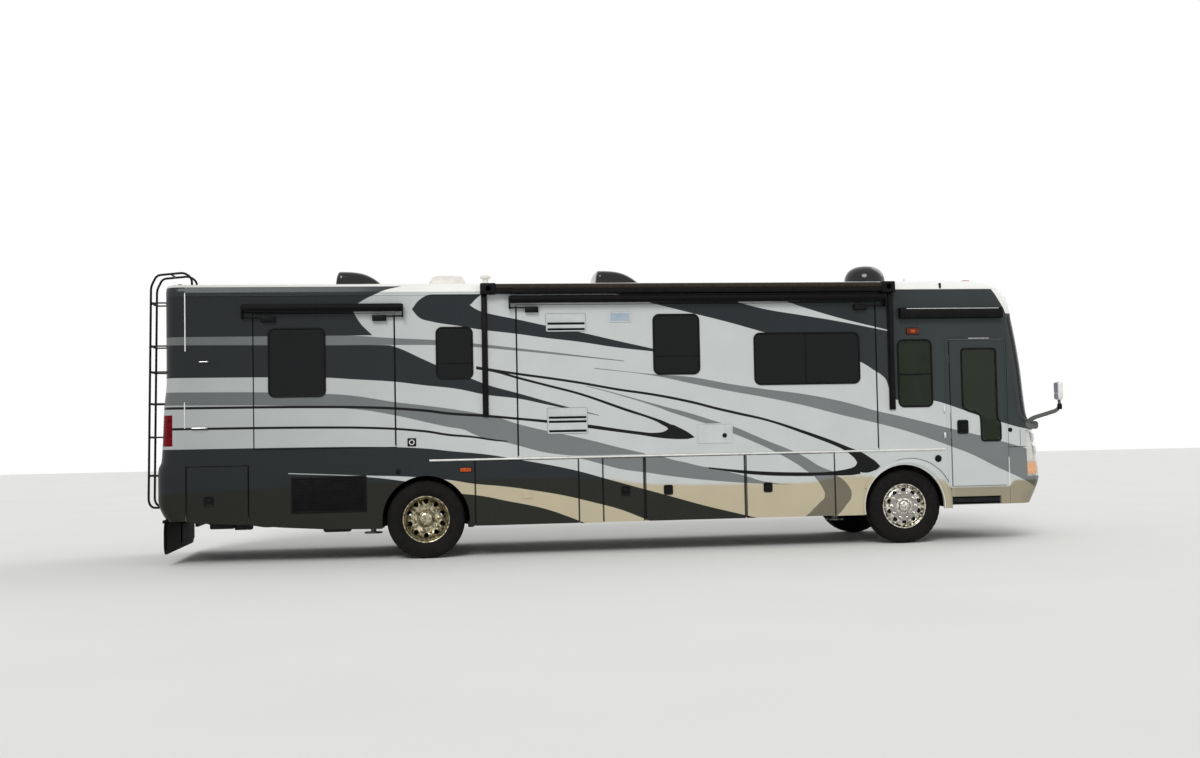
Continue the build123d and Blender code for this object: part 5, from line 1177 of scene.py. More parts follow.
def roofUnits():
    # two shrouds with louvres, a vent lid of shrinking rounded outlines, turned caps and the dome
    for k, start in enumerate((-1.21, 2.32)):
        pieces = [airUnit(start + 0.045)]
        shroud = carve(pieces, [fit(start + 0.50 + 0.04 * i, start + 0.515 + 0.04 * i, -0.2, 0.2, 3.60, 3.86)
                                for i in range(4)])
        addPiece(("rear", "front")[k] + "AirShroud", [shroud], "dome", "coach", ["roof_air_units"], angle=35)
    white = [softFit(0.06, 0.62, -0.26, 0.26, 3.575, 3.64, 0.012, axis=2)]
    rings = []
    outline = roundedOutline(0.09, 0.59, -0.23, 0.23, 0.06, 7)
    for z, share in ((3.64, 1.0), (3.655, 1.0), (3.70, 0.93), (3.74, 0.82), (3.76, 0.70), (3.768, 0.52),
                     (3.77, 0.3)):
        rings.append(np.c_[0.34 + (outline[:, 0] - 0.34) * share + x0, outline[:, 1] * share,
                           np.full(len(outline), z)])
    white.append((np.vstack(rings), ringFaces(len(rings), len(outline))))
    white.append(lathe([(0, 0), (0.04, 0), (0.04, 0.15), (0.05, 0.155), (0.074, 0.165), (0.075, 0.18),
                        (0.06, 0.2), (0.03, 0.209), (0, 0.21)],
                       (0.87 + x0, 0, 3.58), axis=2, steps=36))
    white.append(softFit(4.3, 4.7, -0.2, 0.2, 3.575, 3.625, 0.012, axis=2))
    white.append(softFit(4.33, 4.67, -0.17, 0.17, 3.62, 3.66, 0.02, axis=2))
    white.append(lathe([(0, 0), (0.06, 0), (0.06, 0.008), (0.028, 0.02), (0.022, 0.08), (0.012, 0.13),
                        (0.006, 0.139), (0, 0.14)],
                       (6.93 + x0, 0, 3.58), axis=2, steps=24))
    addPiece("roofVentsAndCaps", white, "white", "coach", ["roof_vents"])
    t = np.linspace(0, math.pi / 2, 18)
    # the dome's section is a squared ellipse (power 2.5), steeper at its foot than a ball
    dome = [(0, 0), (0.31, 0), (0.31, 0.02), (0.305, 0.026), (0.291, 0.05)]
    dome += [(0.29 * math.cos(a) ** 0.8, 0.055 + 0.257 * math.sin(a) ** 0.8) for a in t[:-1]] + [(0, 0.312)]
    addPiece("satelliteDomeShell", [lathe(dome, (6.33 + x0, 0, 3.58), axis=2, steps=72)], "dome", "coach",
             ["satellite_dome"], angle=40)


roofUnits()
print("roof equipment done")


# Mirrors and ladder
ladderSizes = {"rungs": (1.13, 1.62, 2.045, 2.45, 2.78, 3.33)}


def mirrors():
    # heads and panes are rounded boxes, the arms tubes that thin from 32 to 20 mm along a bent path
    shells, panes, arms, blacks = [], [], [], []
    for side in (-1, 1):
        lo = (8.398 + x0, min(side * 1.54, side * 1.69), 1.885)
        hi = (8.470 + x0, max(side * 1.54, side * 1.69), 2.13)
        shells.append(softBlock(lo, hi, 0.03, axis=0, steps=7))
        for za, zb in ((1.985, 2.115), (1.90, 1.97)):
            panes.append(softFit(8.396, 8.4, lo[1] + 0.016, hi[1] - 0.016, za, zb, 0.0015, axis=0, steps=2))
        path = smoothPath([(8.16 + x0, side * 1.17, 1.575), (8.22 + x0, side * 1.29, 1.655),
                           (8.42 + x0, side * 1.57, 1.745), (8.445 + x0, side * 1.61, 1.80),
                           (8.44 + x0, side * 1.61, 1.89)], 0.05, 8)
        arms.append(tube(path, np.linspace(0.032, 0.020, len(path)), 16))
        foot = capPlan(frontShape, np.array([1.56]), 0.0, [side * 0.62])
        fx, fy = float(foot[0][0, 0]), float(foot[1][0, 0])
        arms.append(lathe([(0, -0.03), (0.05, -0.03), (0.052, -0.01), (0.045, 0.012), (0.02, 0.022),
                           (0, 0.023)],
                          (fx + x0 - 0.01, fy, 1.56), axis=0, steps=28))
        blacks.append(lathe([(0, -0.03), (0.03, -0.03), (0.032, -0.02), (0.032, 0.03), (0.026, 0.045),
                             (0, 0.046)],
                            (8.445 + x0, side * 1.61, 1.79), axis=2, steps=24))
    addPiece("mirrorHeads", shells, "silverTrim", "coach", ["mirrors"], angle=40)
    addPiece("mirrorPanes", panes, "mirror", "coach", ["mirrors"])
    addPiece("mirrorArms", arms, "casting", "coach", ["mirrors"])
    addPiece("mirrorJoints", blacks, "black", "coach", ["mirrors"])


def ladder():
    # two bent rails that lean towards the body, rungs with a flat tread, and stand-offs to the rear cap
    black = []
    for y in (-1.0, -0.6):
        rail = [(-3.345, y, 0.73), (-3.435, y, 0.73), (-3.478, y, 0.80), (-3.432, y, 3.54), (-3.36, y, 3.684),
                (-3.02, y, 3.716), (-2.93, y, 3.65), (-2.925, y, 3.552)]
        black.append(tube(smoothPath(np.array(rail) + [x0, 0, 0], 0.05, 6), 0.0145, 14))
        for z in ladderSizes["rungs"]:
            away = -3.478 + 0.046 * (z - 0.8) / 2.74
            black.append(tube([(away + x0, y, z), (capX(0.9, z, rearShape) + 0.02 + x0, y, z)], 0.010, 10))
    for z in ladderSizes["rungs"]:
        away = -3.478 + 0.046 * (z - 0.8) / 2.74 + x0
        black.append(tube([(away, -0.998, z), (away, -0.602, z)], 0.0135, 14))
        black.append(softBlock((away - 0.017, -0.985, z + 0.004), (away + 0.017, -0.615, z + 0.0145), 0.003))
    black.append(tube([(-3.19 + x0, -0.998, 3.70), (-3.19 + x0, -0.602, 3.70)], 0.0125, 14))
    addPiece("rearLadder", black, "black", "coach", ["ladder"])


mirrors()
ladder()
print("mirrors and ladder done")


# Fittings on the walls


def wallBlock(xa, xb, za, zb, proud, radius=0.004, behind=0.0, side=-1):
    # a rounded box on a wall, from behind its face to proud of it
    ya, yb = sorted((side * (wallY - behind), side * (wallY + proud)))
    return softFit(xa, xb, ya, yb, za, zb, radius)


def strip(xa, xb, za, zb, proud, side=-1):
    # a half-round moulding: height proud * sqrt(1 - t^2) across its width
    t = np.linspace(-1, 1, 9)
    section = [((proud - 0.0003) * math.sqrt(max(1 - v * v, 0)) + 0.0003, (za + zb) / 2 + (zb - za) / 2 * v)
               for v in t]
    return alongX(section, xa, xb, side)


def uprightStrip(x, width, za, zb, proud, side=-1):
    # the same half-round section carried up the wall from za to zb
    t = np.linspace(-1, 1, 9)
    section = np.array([(x + width / 2 * v, (proud - 0.0003) * math.sqrt(max(1 - v * v, 0)) + 0.0003)
                        for v in t])
    grid = np.stack([np.c_[section[:, 0] + x0, side * (wallY + section[:, 1]), np.full(len(section), z)]
                     for z in (za, zb)])
    return grid.reshape(-1, 3), ringFaces(2, len(section))


def wheelFlare(side):
    # a crescent round the front arch: its width grows from 20 mm at the rear foot to 130 mm ahead of the wheel,
    # and its section is a low dome that rolls over at the arch edge
    centreX, centreZ, inner = 6.37, 0.505, 0.5555
    angle = np.radians(np.linspace(190, -4, 90))
    share = np.clip((math.pi * 0.78 - angle) / (math.pi * 0.62), 0, 1)
    share = share * share * (3 - 2 * share)
    width = 0.024 + 0.112 * share
    v = np.linspace(0, 1, 10)
    dome = 0.014 + 0.034 * np.sin(np.pi * np.minimum(v * 1.02, 1)) ** 0.8 * (0.25 + 0.75 * share[:, None])
    lift = np.where(v[None, :] >= 0.999, 0.0005, dome * (1 - 0.45 * v[None, :] ** 2.5))
    radius = inner + width[:, None] * v[None, :]
    radius = np.c_[np.full(len(angle), inner), radius]
    lift = np.c_[np.full(len(angle), 0.0005), lift]
    lift[:, 1] = 0.012
    x = np.minimum(centreX + radius * np.cos(angle)[:, None], 7.034) + x0  # clear of the sliding step
    z = centreZ + radius * np.sin(angle)[:, None]
    grid = np.stack([x, side * (wallY + lift), z], -1)
    return grid.reshape(-1, 3), ringFaces(len(angle), radius.shape[1])


def mouldings():
    # belt line, gutters, flares, and a lip that follows each arch: x = cx + r cos a, z = cz + r sin a
    bright = [strip(0.05, 6.95, 1.241, 1.268, 0.0185, side) for side in (-1, 1)]
    bright += [uprightStrip(-2.972, 0.016, 2.69, 3.425, 0.008), uprightStrip(-2.984, 0.014, 1.72, 2.05, 0.007)]
    bright += [uprightStrip(7.857, 0.02, 0.74, 1.13, 0.006), strip(7.04, 7.84, 0.727, 0.742, 0.006)]
    bright += [strip(7.33, 7.62, 2.745, 2.755, 0.012)]
    gutters = [strip(-2.95, 0.72, 3.377, 3.391, 0.007, side) for side in (-1, 1)]
    addPiece("roofGutters", gutters, "paint", "coach")
    addPiece("brightMouldings", bright, "silverTrim", "coach")
    for side, name in ((-1, "right"), (1, "left")):
        addPiece(name + "ArchFlare", [wheelFlare(side)], "paint", "coach", angle=50)
        # painted highlight: a real bead round each arch, in the bright trim finish so that it reads as the
        # highlight along the arch edge
        turn = np.radians(np.linspace(190, -4, 80))
        lip = np.c_[6.37 + 0.5615 * np.cos(turn) + x0, np.full(len(turn), side * (wallY + 0.011)),
                    0.505 + 0.5615 * np.sin(turn)]
        addPiece(name + "ArchLipHighlight", [tube(lip, 0.010, 10)], "silverTrim", "coach")
        turn = np.radians(np.linspace(118, -4, 60))
        share = np.clip((math.pi * 0.78 - turn) / (math.pi * 0.62), 0, 1)
        radius = 0.5555 + 0.027 + 0.112 * share * share * (3 - 2 * share)
        joint = np.c_[np.minimum(6.37 + radius * np.cos(turn), 7.029) + x0,
                      np.full(len(turn), side * (wallY + 0.001)), 0.505 + radius * np.sin(turn)]
        addPiece(name + "FlareJoint", [tube(joint, np.linspace(0.002, 0.005, len(turn)), 8)], "rubber", "coach")
    doorRim = surround(roundedOutline(6.992, 7.856, 0.725, 2.775, 0.05, 6),
                      [(0.0003, 0), (0.004, 0.0), (0.006, 0.003), (0.006, 0.018), (0.004, 0.022),
                       (0.0003, 0.022)])
    addPiece("doorFrame", [doorRim], "paint", "coach")


def ventPanel(xa, xb, za, zb, slots, name, body):
    # a plate with rolled edges and hooded slots; black strips under the hoods and a thin black line round the
    # plate are painted shade
    plate = [moulding(roundedOutline(xa, xb, za, zb, 0.02, 5),
                      [(0.0003, 0), (0.004, 0), (0.006, 0.003), (0.006, 0.012), (0.003, 0.015)])]
    hoods, slotShade = [], []
    for z in slots:
        slotShade.append(wallBlock(xa + 0.02, xb - 0.012, z - 0.016, z + 0.016, 0.0052, 0.002, 0.0))
        hoods.append(wallBlock(xa + 0.02, xb - 0.012, z + 0.0125, z + 0.019, 0.014, 0.003))
    addPiece(name + "Plate", plate + hoods, "panel", body)
    # painted shade: a thin black line round the plate
    slotShade.append(surround(roundedOutline(xa - 0.003, xb + 0.003, za - 0.003, zb + 0.003, 0.022, 5),
                          [(0.0002, 0), (0.003, 0), (0.003, 0.0028), (0.0002, 0.0028)]))
    addPiece(name + "Slots", slotShade, "black", body)


def slideGaskets():
    # rubber wiper seals along the upright edges of both slide-outs
    for body in ("main_slide", "bedroom_slide"):
        lo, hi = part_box(body)
        wide = 0.013 if body == "main_slide" else 0.006
        edges = [uprightStrip(x - x0, w, lo[2] + 0.02, hi[2] - 0.02, 0.004)
                 for x, w in ((lo[0] + wide / 2, wide), (hi[0] - 0.0065, 0.013))]
        addPiece(body.split("_")[0] + "SlideGaskets", edges, "rubber", body)


def doorGaskets():
    # rubber along the upright edges of the right baggage doors and round the entry door
    for name in ("right_bay_door_1", "right_bay_door_2", "right_bay_door_3", "right_bay_door_4",
                 "right_rear_door"):
        lo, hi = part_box(name)
        edges = [uprightStrip(x - x0, 0.010, lo[2] + 0.004, hi[2] - 0.004, 0.003)
                 for x in (lo[0] + 0.006, hi[0] - 0.006)]
        addPiece(camelCase(name) + "Gaskets", edges, "rubber", name)
    rim = surround(roundedOutline(7.052, 7.850, 0.748, 2.728, 0.02, 5),
                   [(0.0003, 0), (0.0015, 0), (0.0015, 0.006), (0.0003, 0.006)])
    addPiece("entryDoorGasket", [rim], "rubber", "entry_door")


def doorLiner():
    # the door's inner face: a moulded panel cut round the window's upper pane and its foot, and an inside latch
    liner = softFit(7.075, 7.825, -1.2372, -1.2322, 0.775, 2.70, 0.002)
    for cut in (fit(7.185, 7.75, -1.30, -1.20, 1.705, 2.645), fit(7.44, 7.792, -1.30, -1.20, 1.318, 1.76)):
        liner = carve([liner], [cut])
    addPiece("entryDoorLiner", [liner], "white", "entry_door")
    latch = softFit(7.105, 7.165, -1.2325, -1.218, 1.42, 1.60, 0.005)
    addPiece("entryDoorInnerLatch", [latch], "black", "entry_door")


def wallFittings():
    # vents, hatches, ports, grips and the radiator grille of the right wall
    ventPanel(1.58, 2.10, 2.895, 3.13, (2.925, 3.0), "upperFridgeVent", "main_slide")
    ventPanel(1.575, 2.10, 1.565, 1.90, (1.60, 1.722, 1.776), "lowerFridgeVent", "main_slide")
    hatch = [moulding(roundedOutline(2.41, 2.70, 3.01, 3.16, 0.012, 4),
                      [(0.0003, 0), (0.008, 0), (0.010, 0.003), (0.010, 0.012), (0.004, 0.016)]),
             moulding(roundedOutline(3.55, 4.03, 1.40, 1.66, 0.02, 5),
                      [(0.0003, 0), (0.007, 0), (0.009, 0.003), (0.009, 0.012), (0.003, 0.017)])]
    addPiece("slideHatches", hatch, "panel", "main_slide")
    lid = moulding(roundedOutline(2.432, 2.678, 3.03, 3.128, 0.006, 4),
                   [(0.0042, 0), (0.007, 0.0008), (0.0078, 0.003)])
    addPiece("slideHatchLid", [lid], "bluePanel", "main_slide")
    lock = knob([(0, 0.0), (0.03, 0.0), (0.03, 0.004), (0.026, 0.008), (0, 0.009)], 3.92, 1.5, 0.006, 24)
    addPiece("slideHatchLock", [lock], "black", "main_slide")

    black = [wallBlock(-0.225, -0.115, 1.44, 1.545, 0.008, 0.006),
             wallBlock(-0.38, -0.32, 1.09, 1.15, 0.008, 0.006),
             wallBlock(6.94, 6.965, 3.435, 3.505, 0.012, 0.004, 0.05)]
    black.append(knob([(0, 0), (0.046, 0), (0.048, 0.006), (0.042, 0.014), (0.03, 0.018), (0, 0.019)],
                      6.855, 1.13))
    addPiece("sidePorts", black, "black", "coach")
    chrome = [knob([(0.022, 0.008), (0.034, 0.008), (0.036, 0.011), (0.032, 0.014), (0.024, 0.013)],
                   -0.17, 1.492)]
    for xa, xb, z, proud in ((-2.90, -2.71, 1.722, 0.035), (-2.80, -2.69, 2.555, 0.03)):
        path = smoothPath([(xa + x0, -wallY + 0.001, z), (xa + x0, -wallY - proud, z),
                           (xb + x0, -wallY - proud, z), (xb + x0, -wallY + 0.001, z)], 0.014)
        chrome.append(tube(path, 0.008, 12))
    for za, zb in ((1.74, 1.85), (1.40, 1.48)):
        chrome.append(wallBlock(6.945, 6.975, za, zb, 0.014, 0.004))
    addPiece("chromeWallFittings", chrome, "chrome", "coach")

    # radiator opening: a black frame with fine louvres in front of the dark core
    grille = [surround(roundedOutline(-1.69, -0.745, 0.62, 1.085, 0.02, 4),
                       [(0.0003, 0), (0.006, 0.001), (0.007, 0.004), (0.007, 0.022), (0.004, 0.026),
                        (-0.01, 0.026), (-0.01, 0.02), (0.0003, 0.018)])]
    grille += [wallBlock(-1.67, -0.765, 0.64, 1.068, -0.0005, 0.002, 0.0075)]
    for z in np.arange(0.655, 1.06, 0.0215):
        section = [(-0.0005, z), (0.0035, z + 0.003), (0.0045, z + 0.0065), (-0.0005, z + 0.010)]
        grille.append(alongX(section, -1.668, -0.767))
    addPiece("radiatorGrille", grille, "black", "coach")


def latches():
    # paddle latches on the baggage doors: a black bezel, a recess ring and a sloping paddle
    for door, x in (("right_rear_door", -2.70), ("right_bay_door_2", 2.585), ("right_bay_door_3", 3.15),
                    ("right_bay_door_4", 4.49)):
        outline = roundedOutline(x - 0.06, x + 0.06, 0.738, 0.867, 0.024, 6)
        bezel = moulding(outline, [(0.0003, 0), (0.011, 0), (0.0135, 0.003), (0.0135, 0.014), (0.0115, 0.018)])
        paddle = moulding(roundedOutline(x - 0.034, x + 0.034, 0.772, 0.84, 0.012, 5),
                          [(0.011, 0), (0.0165, 0.002), (0.018, 0.008)])
        addPiece(camelCase(door) + "Latch", [bezel, paddle], "black", door)
    x, z = 7.215, 1.55
    bezel = moulding(roundedOutline(x - 0.078, x + 0.078, z - 0.093, z + 0.093, 0.028, 6),
                     [(0.0003, 0), (0.0135, 0), (0.016, 0.003), (0.016, 0.016), (0.014, 0.02)])
    pull = moulding(roundedOutline(x - 0.045, x + 0.05, z - 0.05, z + 0.045, 0.02, 6),
                    [(0.014, 0), (0.021, 0.003), (0.024, 0.012)])
    addPiece("entryDoorLatch", [bezel, pull], "black", "entry_door")


mouldings()
slideGaskets()
doorGaskets()
doorLiner()
wallFittings()
latches()
print("wall fittings done")


# Walls and skirts trimmed to the caps and the arch foot


def nodeCopy(name):
    # a CAD node's own surface with its loose triangles merged
    work = bmesh.new()
    work.from_mesh(cadNodes[name].data)
    bmesh.ops.remove_doubles(work, verts=work.verts, dist=1e-5)
    bmesh.ops.dissolve_limit(work, angle_limit=math.radians(0.5), verts=work.verts, edges=work.edges)
    work.verts.index_update()
    verts = np.array([v.co[:] for v in work.verts])
    faces = [[v.index for v in face.verts] for face in work.faces]
    work.free()
    return verts, faces


def trimmedWalls():
    # the walls leave their front upper corners to the cap, and the skirts stop at the foot of the arch flare
    for side, name in ((-1, "right"), (1, "left")):
        ya, yb = sorted((side * 1.30, side * 1.14))
        corner = fit(capSizes["cornerX"], 7.95, ya, yb, capSizes["cornerZ"], 3.5)
        addPiece(name + "WallPanel", [carve([nodeCopy(name + "_wall")], [corner])], "paint", "coach",
                 [name + "_wall"], angle=30)
        foot = fit(6.90, 7.045, ya, yb, 0.35, 0.455)
        addPiece(name + "SkirtPanel", [carve([nodeCopy(name + "_skirt")], [foot])], "paint", "coach",
                 [name + "_skirt"], angle=30)


trimmedWalls()
print("walls done")


# Wheel housings, brake drums and the rear guard


def wheelHousings():
    # a C-shaped plate closes each rear housing towards the frame: it leaves room for the hub
    angle = np.radians(np.linspace(-12, 192, 50))
    ring = np.vstack([np.c_[0.606 * np.cos(angle), 0.606 * np.sin(angle)],
                      np.c_[0.235 * np.cos(angle[::-1]), 0.235 * np.sin(angle[::-1])]])
    plates = []
    for side in (-1, 1):
        grid = np.stack([np.c_[ring[:, 0] + x0, np.full(len(ring), side * y), ring[:, 1] + 0.505]
                         for y in (0.603, 0.611)])
        plates.append((grid.reshape(-1, 3), ringFaces(2, len(ring))))
    addPiece("rearHousingPlates", plates, "liner", "coach")
    drum = [(0.08, 0.045), (0.226, 0.045), (0.236, 0.04), (0.24, 0.03), (0.24, -0.085), (0.232, -0.085),
            (0.232, 0.03), (0.08, 0.036)]
    for side, name in ((1, "left"), (-1, "right")):
        piece = moved(lathe([(r, side * w) for r, w in drum],
                            (0, side * wheelSizes["steerY"], wheelSizes["axleZ"]), steps=64),
                      x0 + xFront)
        addPiece("brakeDrum" + name.title(), [piece], "chassis", "front_" + name + "_wheel")
        # painted shade: a darker metal ring just proud of the disc face
        shade = moved(lathe([(0.121, side * 0.0885), (0.197, side * 0.0885), (0.196, side * 0.0893),
                             (0.122, side * 0.0893)],
                            (0, side * wheelSizes["steerY"], wheelSizes["axleZ"]), steps=96), x0 + xFront)
        addPiece("hubRing" + name.title(), [shade], "castAlloy", "front_" + name + "_wheel")
    # the rear guard: a rubber sheet across the back, its lower corners rounded, with a bar along the top
    outline = roundPolygon([(-1.14, 0.135), (1.14, 0.135), (1.14, 0.56), (-1.14, 0.56)], 0.15, 8)
    xa, xb = -3.272 + x0, -3.262 + x0
    sheet = np.stack([np.c_[np.full(len(outline), x), outline] for x in (xa, xb)])
    guard = [(sheet.reshape(-1, 3), ringFaces(2, len(outline))),
             softBlock((xa - 0.012, -1.15, 0.535), (xb + 0.012, 1.15, 0.575), 0.006)]
    addPiece("rearGuard", guard, "rubber", "coach")


def underBody():
    # pipes, valves and brackets that hang just below the skirts at the rear
    dark = []
    for xa, xb, y, z in ((-2.72, -2.42, -1.0, 0.44), (-2.42, -2.2, -0.96, 0.42), (-1.86, -1.66, -0.98, 0.44)):
        dark.append(softFit(xa, xb, y - 0.07, y + 0.07, z, z + 0.12, 0.015))
    dark.append(softFit(-1.31, -0.95, -1.08, -0.86, 0.362, 0.47, 0.03))
    dark.append(softFit(0.535, 0.605, -1.2, -1.12, 0.385, 0.46, 0.008))
    loop = smoothPath([(-2.9 + x0, -0.9, 0.56), (-2.62 + x0, -0.95, 0.47), (-2.3 + x0, -0.93, 0.50),
                       (-2.0 + x0, -0.95, 0.445), (-1.6 + x0, -0.9, 0.53)], 0.1, 8)
    dark.append(tube(loop, 0.016, 10))
    exhaust = smoothPath([(-2.15 + x0, 0.7, 0.62), (-2.7 + x0, 0.82, 0.55), (-3.1 + x0, 0.85, 0.52)], 0.12, 8)
    dark.append(tube(exhaust, 0.055, 20))
    addPiece("underBodyParts", dark, "chassis", "coach")


wheelHousings()
underBody()
print("housings done")


# Lamps, latches and trim that repeat on both sides


def markerLamps():
    # small rounded lenses on black bases along the walls and in rows over both caps
    amber, red, bases, smoked = [], [], [], []
    for side in (-1, 1):
        for xa, xb, za, zb in ((0.44, 0.58, 1.1, 1.15), (6.46, 6.63, 2.813, 2.897)):
            ya, yb = sorted((side * (wallY + 0.0003), side * (wallY + 0.005)))
            bases.append(softFit(xa - 0.006, xb + 0.006, ya, yb, za - 0.006, zb + 0.006, 0.002))
            ya, yb = sorted((side * (wallY + 0.005), side * (wallY + 0.018)))
            (smoked if za > 2 else amber).append(softFit(xa, xb, ya, yb, za, zb, 0.011))
        ya, yb = sorted((side * (wallY + 0.012), side * (wallY + 0.0195)))
        amber.append(softFit(6.515, 6.575, ya, yb, 2.835, 2.875, 0.005))
    for y in (-0.7, -0.16, 0.0, 0.16, 0.7):
        front = 7.755 if abs(y) < 0.5 else 7.615
        amber.append(softFit(front - 0.11, front, y - 0.033, y + 0.033, 3.553, 3.603, 0.016, axis=2))
        red.append(softFit(-3.15, -3.092, y - 0.043, y + 0.043, 3.566, 3.6, 0.014, axis=2))
    addPiece("amberMarkers", amber, "amber", "coach", ["marker_lamps"])
    addPiece("smokedMarkers", smoked, "smokedAmber", "coach", ["marker_lamps"])
    addPiece("redMarkers", red, "red", "coach", ["marker_lamps"])
    addPiece("markerBases", bases, "black", "coach", ["marker_lamps"])


def leftFittings():
    # the latches of the left doors; the outline runs the other way round, so insets are negative
    for door, x in (("left_bay_door_1", 1.45), ("left_bay_door_2", 3.06), ("left_bay_door_3", 4.63)):
        outline = roundedOutline(x - 0.058, x + 0.058, 0.742, 0.863, 0.024, 6)[::-1]
        inner = roundedOutline(x - 0.034, x + 0.034, 0.772, 0.84, 0.012, 5)[::-1]
        bezel = moulding(outline, [(0.0003, 0), (0.011, 0), (0.0135, -0.003), (0.0135, -0.014),
                                   (0.0115, -0.018)], "left")
        paddle = moulding(inner, [(0.011, 0), (0.0165, -0.002), (0.018, -0.008)], "left")
        addPiece(camelCase(door) + "Latch", [bezel, paddle], "black", door)


def frontDetails():
    # mirror feet above the headlamps, a small lock on the corner, and two wipers parked across the screen
    silver = []
    for side in (-1, 1):
        ya, yb = sorted((side * 1.06, side * 1.235))
        silver.append(softFit(8.12, 8.325, ya, yb, 1.502, 1.612, 0.03))
    addPiece("mirrorFeet", silver, "casting", "coach", angle=40)
    dark = [knob([(0, -0.03), (0.03, -0.03), (0.03, 0.004), (0.024, 0.009), (0, 0.0095)], 7.89, 1.497, -0.0015)]
    arms = []
    for side in (-1, 1):
        pivot = np.array([capX(side * 0.60, 1.575) + x0 + 0.008, side * 0.60, 1.575])
        dark.append(lathe([(0, -0.02), (0.026, -0.02), (0.026, 0.012), (0.02, 0.02), (0, 0.021)], pivot, axis=0,
                          steps=24))
        reach = [np.array([capX(side * y, z) + x0 + off, side * y, z])
                 for y, z, off in ((0.60, 1.578, 0.026), (0.52, 1.66, 0.034), (0.32, 1.86, 0.032),
                                   (0.12, 2.05, 0.024))]
        arms.append(tube(smoothPath(reach, 0.05, 5), 0.008, 10))
        blade = [np.array([capX(side * y, z) + x0 + 0.011, side * y, z]) for y,
                 z in zip(np.linspace(0.62, -0.02, 9), np.linspace(1.80, 2.26, 9))]
        arms.append(tube(blade, 0.007, 8))
    for side in (-1, 1):
        dark.append(tube([(8.03 + x0, side * 1.2745, z) for z in (1.275, 1.35, 1.43, 1.5)], 0.003, 8))
    addPiece("frontLocksAndPivots", dark, "black", "coach")
    addPiece("wipers", arms, "black", "coach")


markerLamps()
leftFittings()
frontDetails()
print("repeated trim done")


# Cab: padded seats and the instrument hood
seatSizes = {"x": 7.14, "rows": (0.6, -0.29), "voxel": 0.010, "pressure": 3.0, "steps": 14, "cap": 0.014}


def puffed(piece, cap):
    # the closed form is remeshed evenly, then cloth under inner pressure swells it, each point by cap at most
    mesh = bpy.data.meshes.new("padShape")
    mesh.from_pydata(np.asarray(piece[0]).tolist(), [], piece[1])
    thing = addObject("padShape", mesh)
    even = thing.modifiers.new("even", "REMESH")
    even.mode, even.voxel_size = "VOXEL", seatSizes["voxel"] * 1
    bpy.context.view_layer.update()
    thing.data = bpy.data.meshes.new_from_object(thing.evaluated_get(bpy.context.evaluated_depsgraph_get()))
    thing.modifiers.clear()
    begin, faces = readMesh(thing.data)
    cloth = thing.modifiers.new("cloth", "CLOTH")
    cloth.settings.use_pressure, cloth.settings.uniform_pressure_force = True, seatSizes["pressure"]
    cloth.settings.effector_weights.gravity = 0
    cloth.settings.quality = 4
    scene = bpy.context.scene
    for step in range(1, seatSizes["steps"] + 1):
        scene.frame_set(step)
    end = readMesh(thing.evaluated_get(bpy.context.evaluated_depsgraph_get()).to_mesh())[0]
    bpy.data.objects.remove(thing)
    scene.frame_set(1)
    shift = end - begin
    size = np.linalg.norm(shift, axis=1)[:, None] + 1e-9
    return begin + shift / size * np.minimum(size, cap), faces


def seatForm(profile, ya, yb, edge):
    # a side profile in (x, z) carried across, each ring inset by edge * (1 - sqrt(1 - u^2)) near both sides
    outline = roundPolygon(profile, edge * 1.6, 6)
    t = np.linspace(0, math.pi / 2, 5)
    levels = [(ya + edge * (1 - math.sin(a)), edge * (1 - math.cos(a))) for a in t]
    levels = levels[::-1] + [(ya + yb - y, inset) for y, inset in levels]
    rings = []
    for y, inset in levels:
        o = insetOutline(outline, inset)
        rings.append(np.c_[o[:, 0] + x0, np.full(len(o), y), o[:, 1]])
    return np.vstack(rings), ringFaces(len(rings), len(outline))


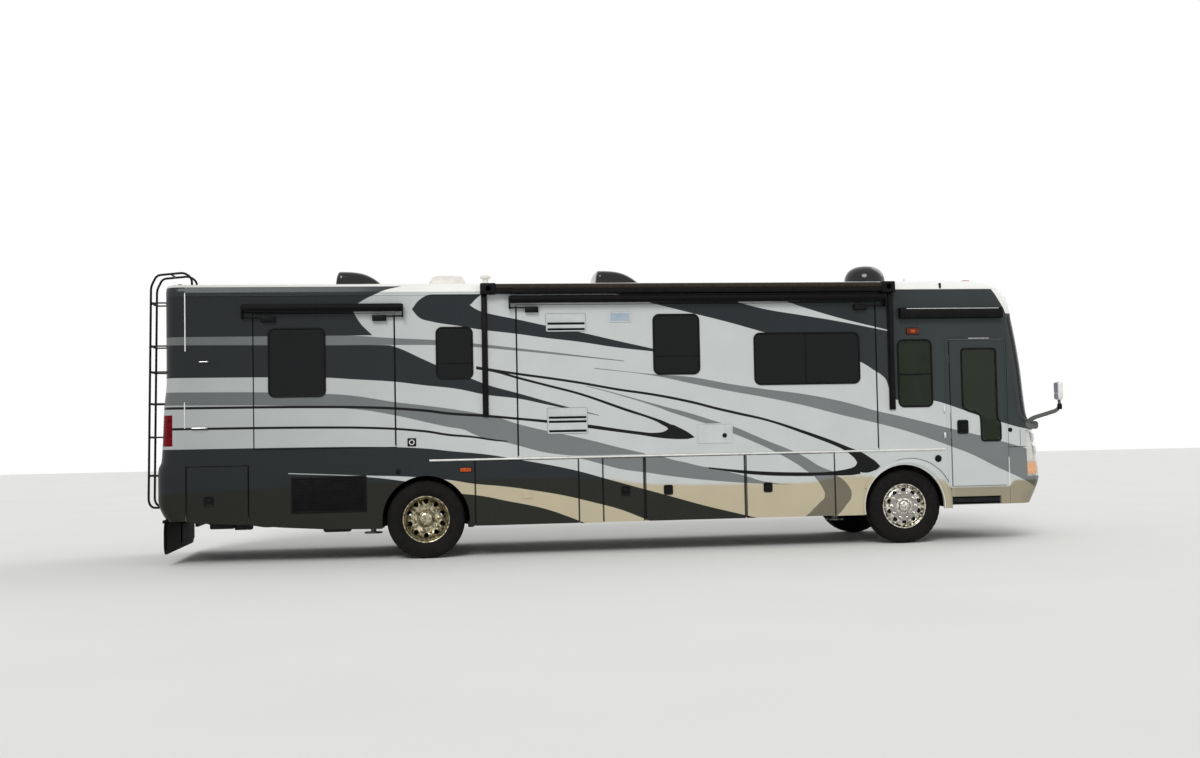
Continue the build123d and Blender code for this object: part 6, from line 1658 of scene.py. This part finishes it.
def cabSeats():
    # puffed pads on a plain frame, armrests on posts, and the instrument hood with its two screens
    x = seatSizes["x"]
    for number, y in enumerate(seatSizes["rows"]):
        name = ("driver", "passenger")[number]
        pads = {"Cushion": ([(x + 0.012, 1.672), (x + 0.438, 1.672), (x + 0.438, 1.765), (x + 0.012, 1.765)],
                            0.248, 0.024, (0.15, 1)),
                "Back": ([(x + 0.012, 1.80), (x + 0.088, 1.80), (x - 0.02, 2.435), (x - 0.088, 2.435)], 0.238,
                         0.024, (0.13, 0)),
                "Headrest": ([(x - 0.098, 2.462), (x - 0.038, 2.462), (x - 0.056, 2.628), (x - 0.104, 2.628)],
                             0.128, 0.02, None)}
        for part, (profile, half, edge, channels) in pads.items():
            verts, faces = puffed(seatForm(profile, y - half, y + half, edge), seatSizes["cap"])
            if channels:
                # sewn channels: grooves 7 mm deep run from front to back at both sides of the middle panel
                for line in (-channels[0], channels[0]):
                    depth = 0.007 * np.exp(-((verts[:, 1] - y - line) / 0.007) ** 2)
                    middle = verts.mean(0)
                    if channels[1]:
                        verts[:, 2] -= depth * np.sign(verts[:, 2] - middle[2])
                    else:
                        verts[:, 0] -= depth * np.sign(verts[:,
                                                             0] - (x0 + x - 0.02 - (verts[:, 2] - 2.1) * 0.15))
            pad = addPiece(name + "Seat" + part, [(verts, faces)], "leather", "coach", ["cab_seats"], angle=60)
        steel = [softFit(x + 0.16, x + 0.34, y - 0.09, y + 0.09, 1.262, 1.655, 0.02, axis=2),
                  softFit(x + 0.10, x + 0.40, y - 0.16, y + 0.16, 1.2502, 1.27, 0.008, axis=2),
                  softFit(x + 0.03, x + 0.43, y - 0.22, y + 0.22, 1.635, 1.668, 0.01, axis=2)]
        for post in (-0.07, 0.07):
            steel.append(tube([(x - 0.068 + x0, y + post, 2.42), (x - 0.075 + x0, y + post, 2.48)], 0.007, 12))
        rests = []
        for end in (-1, 1):
            ya, yb = sorted((y + end * 0.266, y + end * 0.314))
            rests.append(softFit(x + 0.06, x + 0.36, ya, yb, 1.872, 1.919, 0.02))
            steel.append(softFit(x + 0.062, x + 0.092, ya + 0.008, yb - 0.008, 1.705, 1.88, 0.008))
            steel.append(softFit(x + 0.045, x + 0.095, min(y + end * 0.24, y + end * 0.31),
                                 max(y + end * 0.24, y + end * 0.31), 1.702, 1.735, 0.008))
        addPiece(name + "SeatFrame", steel, "chassis", "coach", ["cab_seats"])
        addPiece(name + "SeatArmrests", rests, "leather", "coach", ["cab_seats"])
    hood = [softFit(7.90, 8.06, 0.38, 0.82, 1.60, 1.71, 0.03, axis=0),
            softFit(7.93, 8.02, -0.18, 0.18, 1.60, 1.70, 0.012, axis=0)]
    addPiece("instrumentHood", hood, "dash", "coach")
    screens = [softFit(7.897, 7.905, 0.41, 0.79, 1.625, 1.69, 0.003, axis=0),
               softFit(7.927, 7.935, -0.15, 0.15, 1.615, 1.69, 0.003, axis=0)]
    addPiece("dashScreens", screens, "glass", "coach")


cabSeats()
print("cab done")
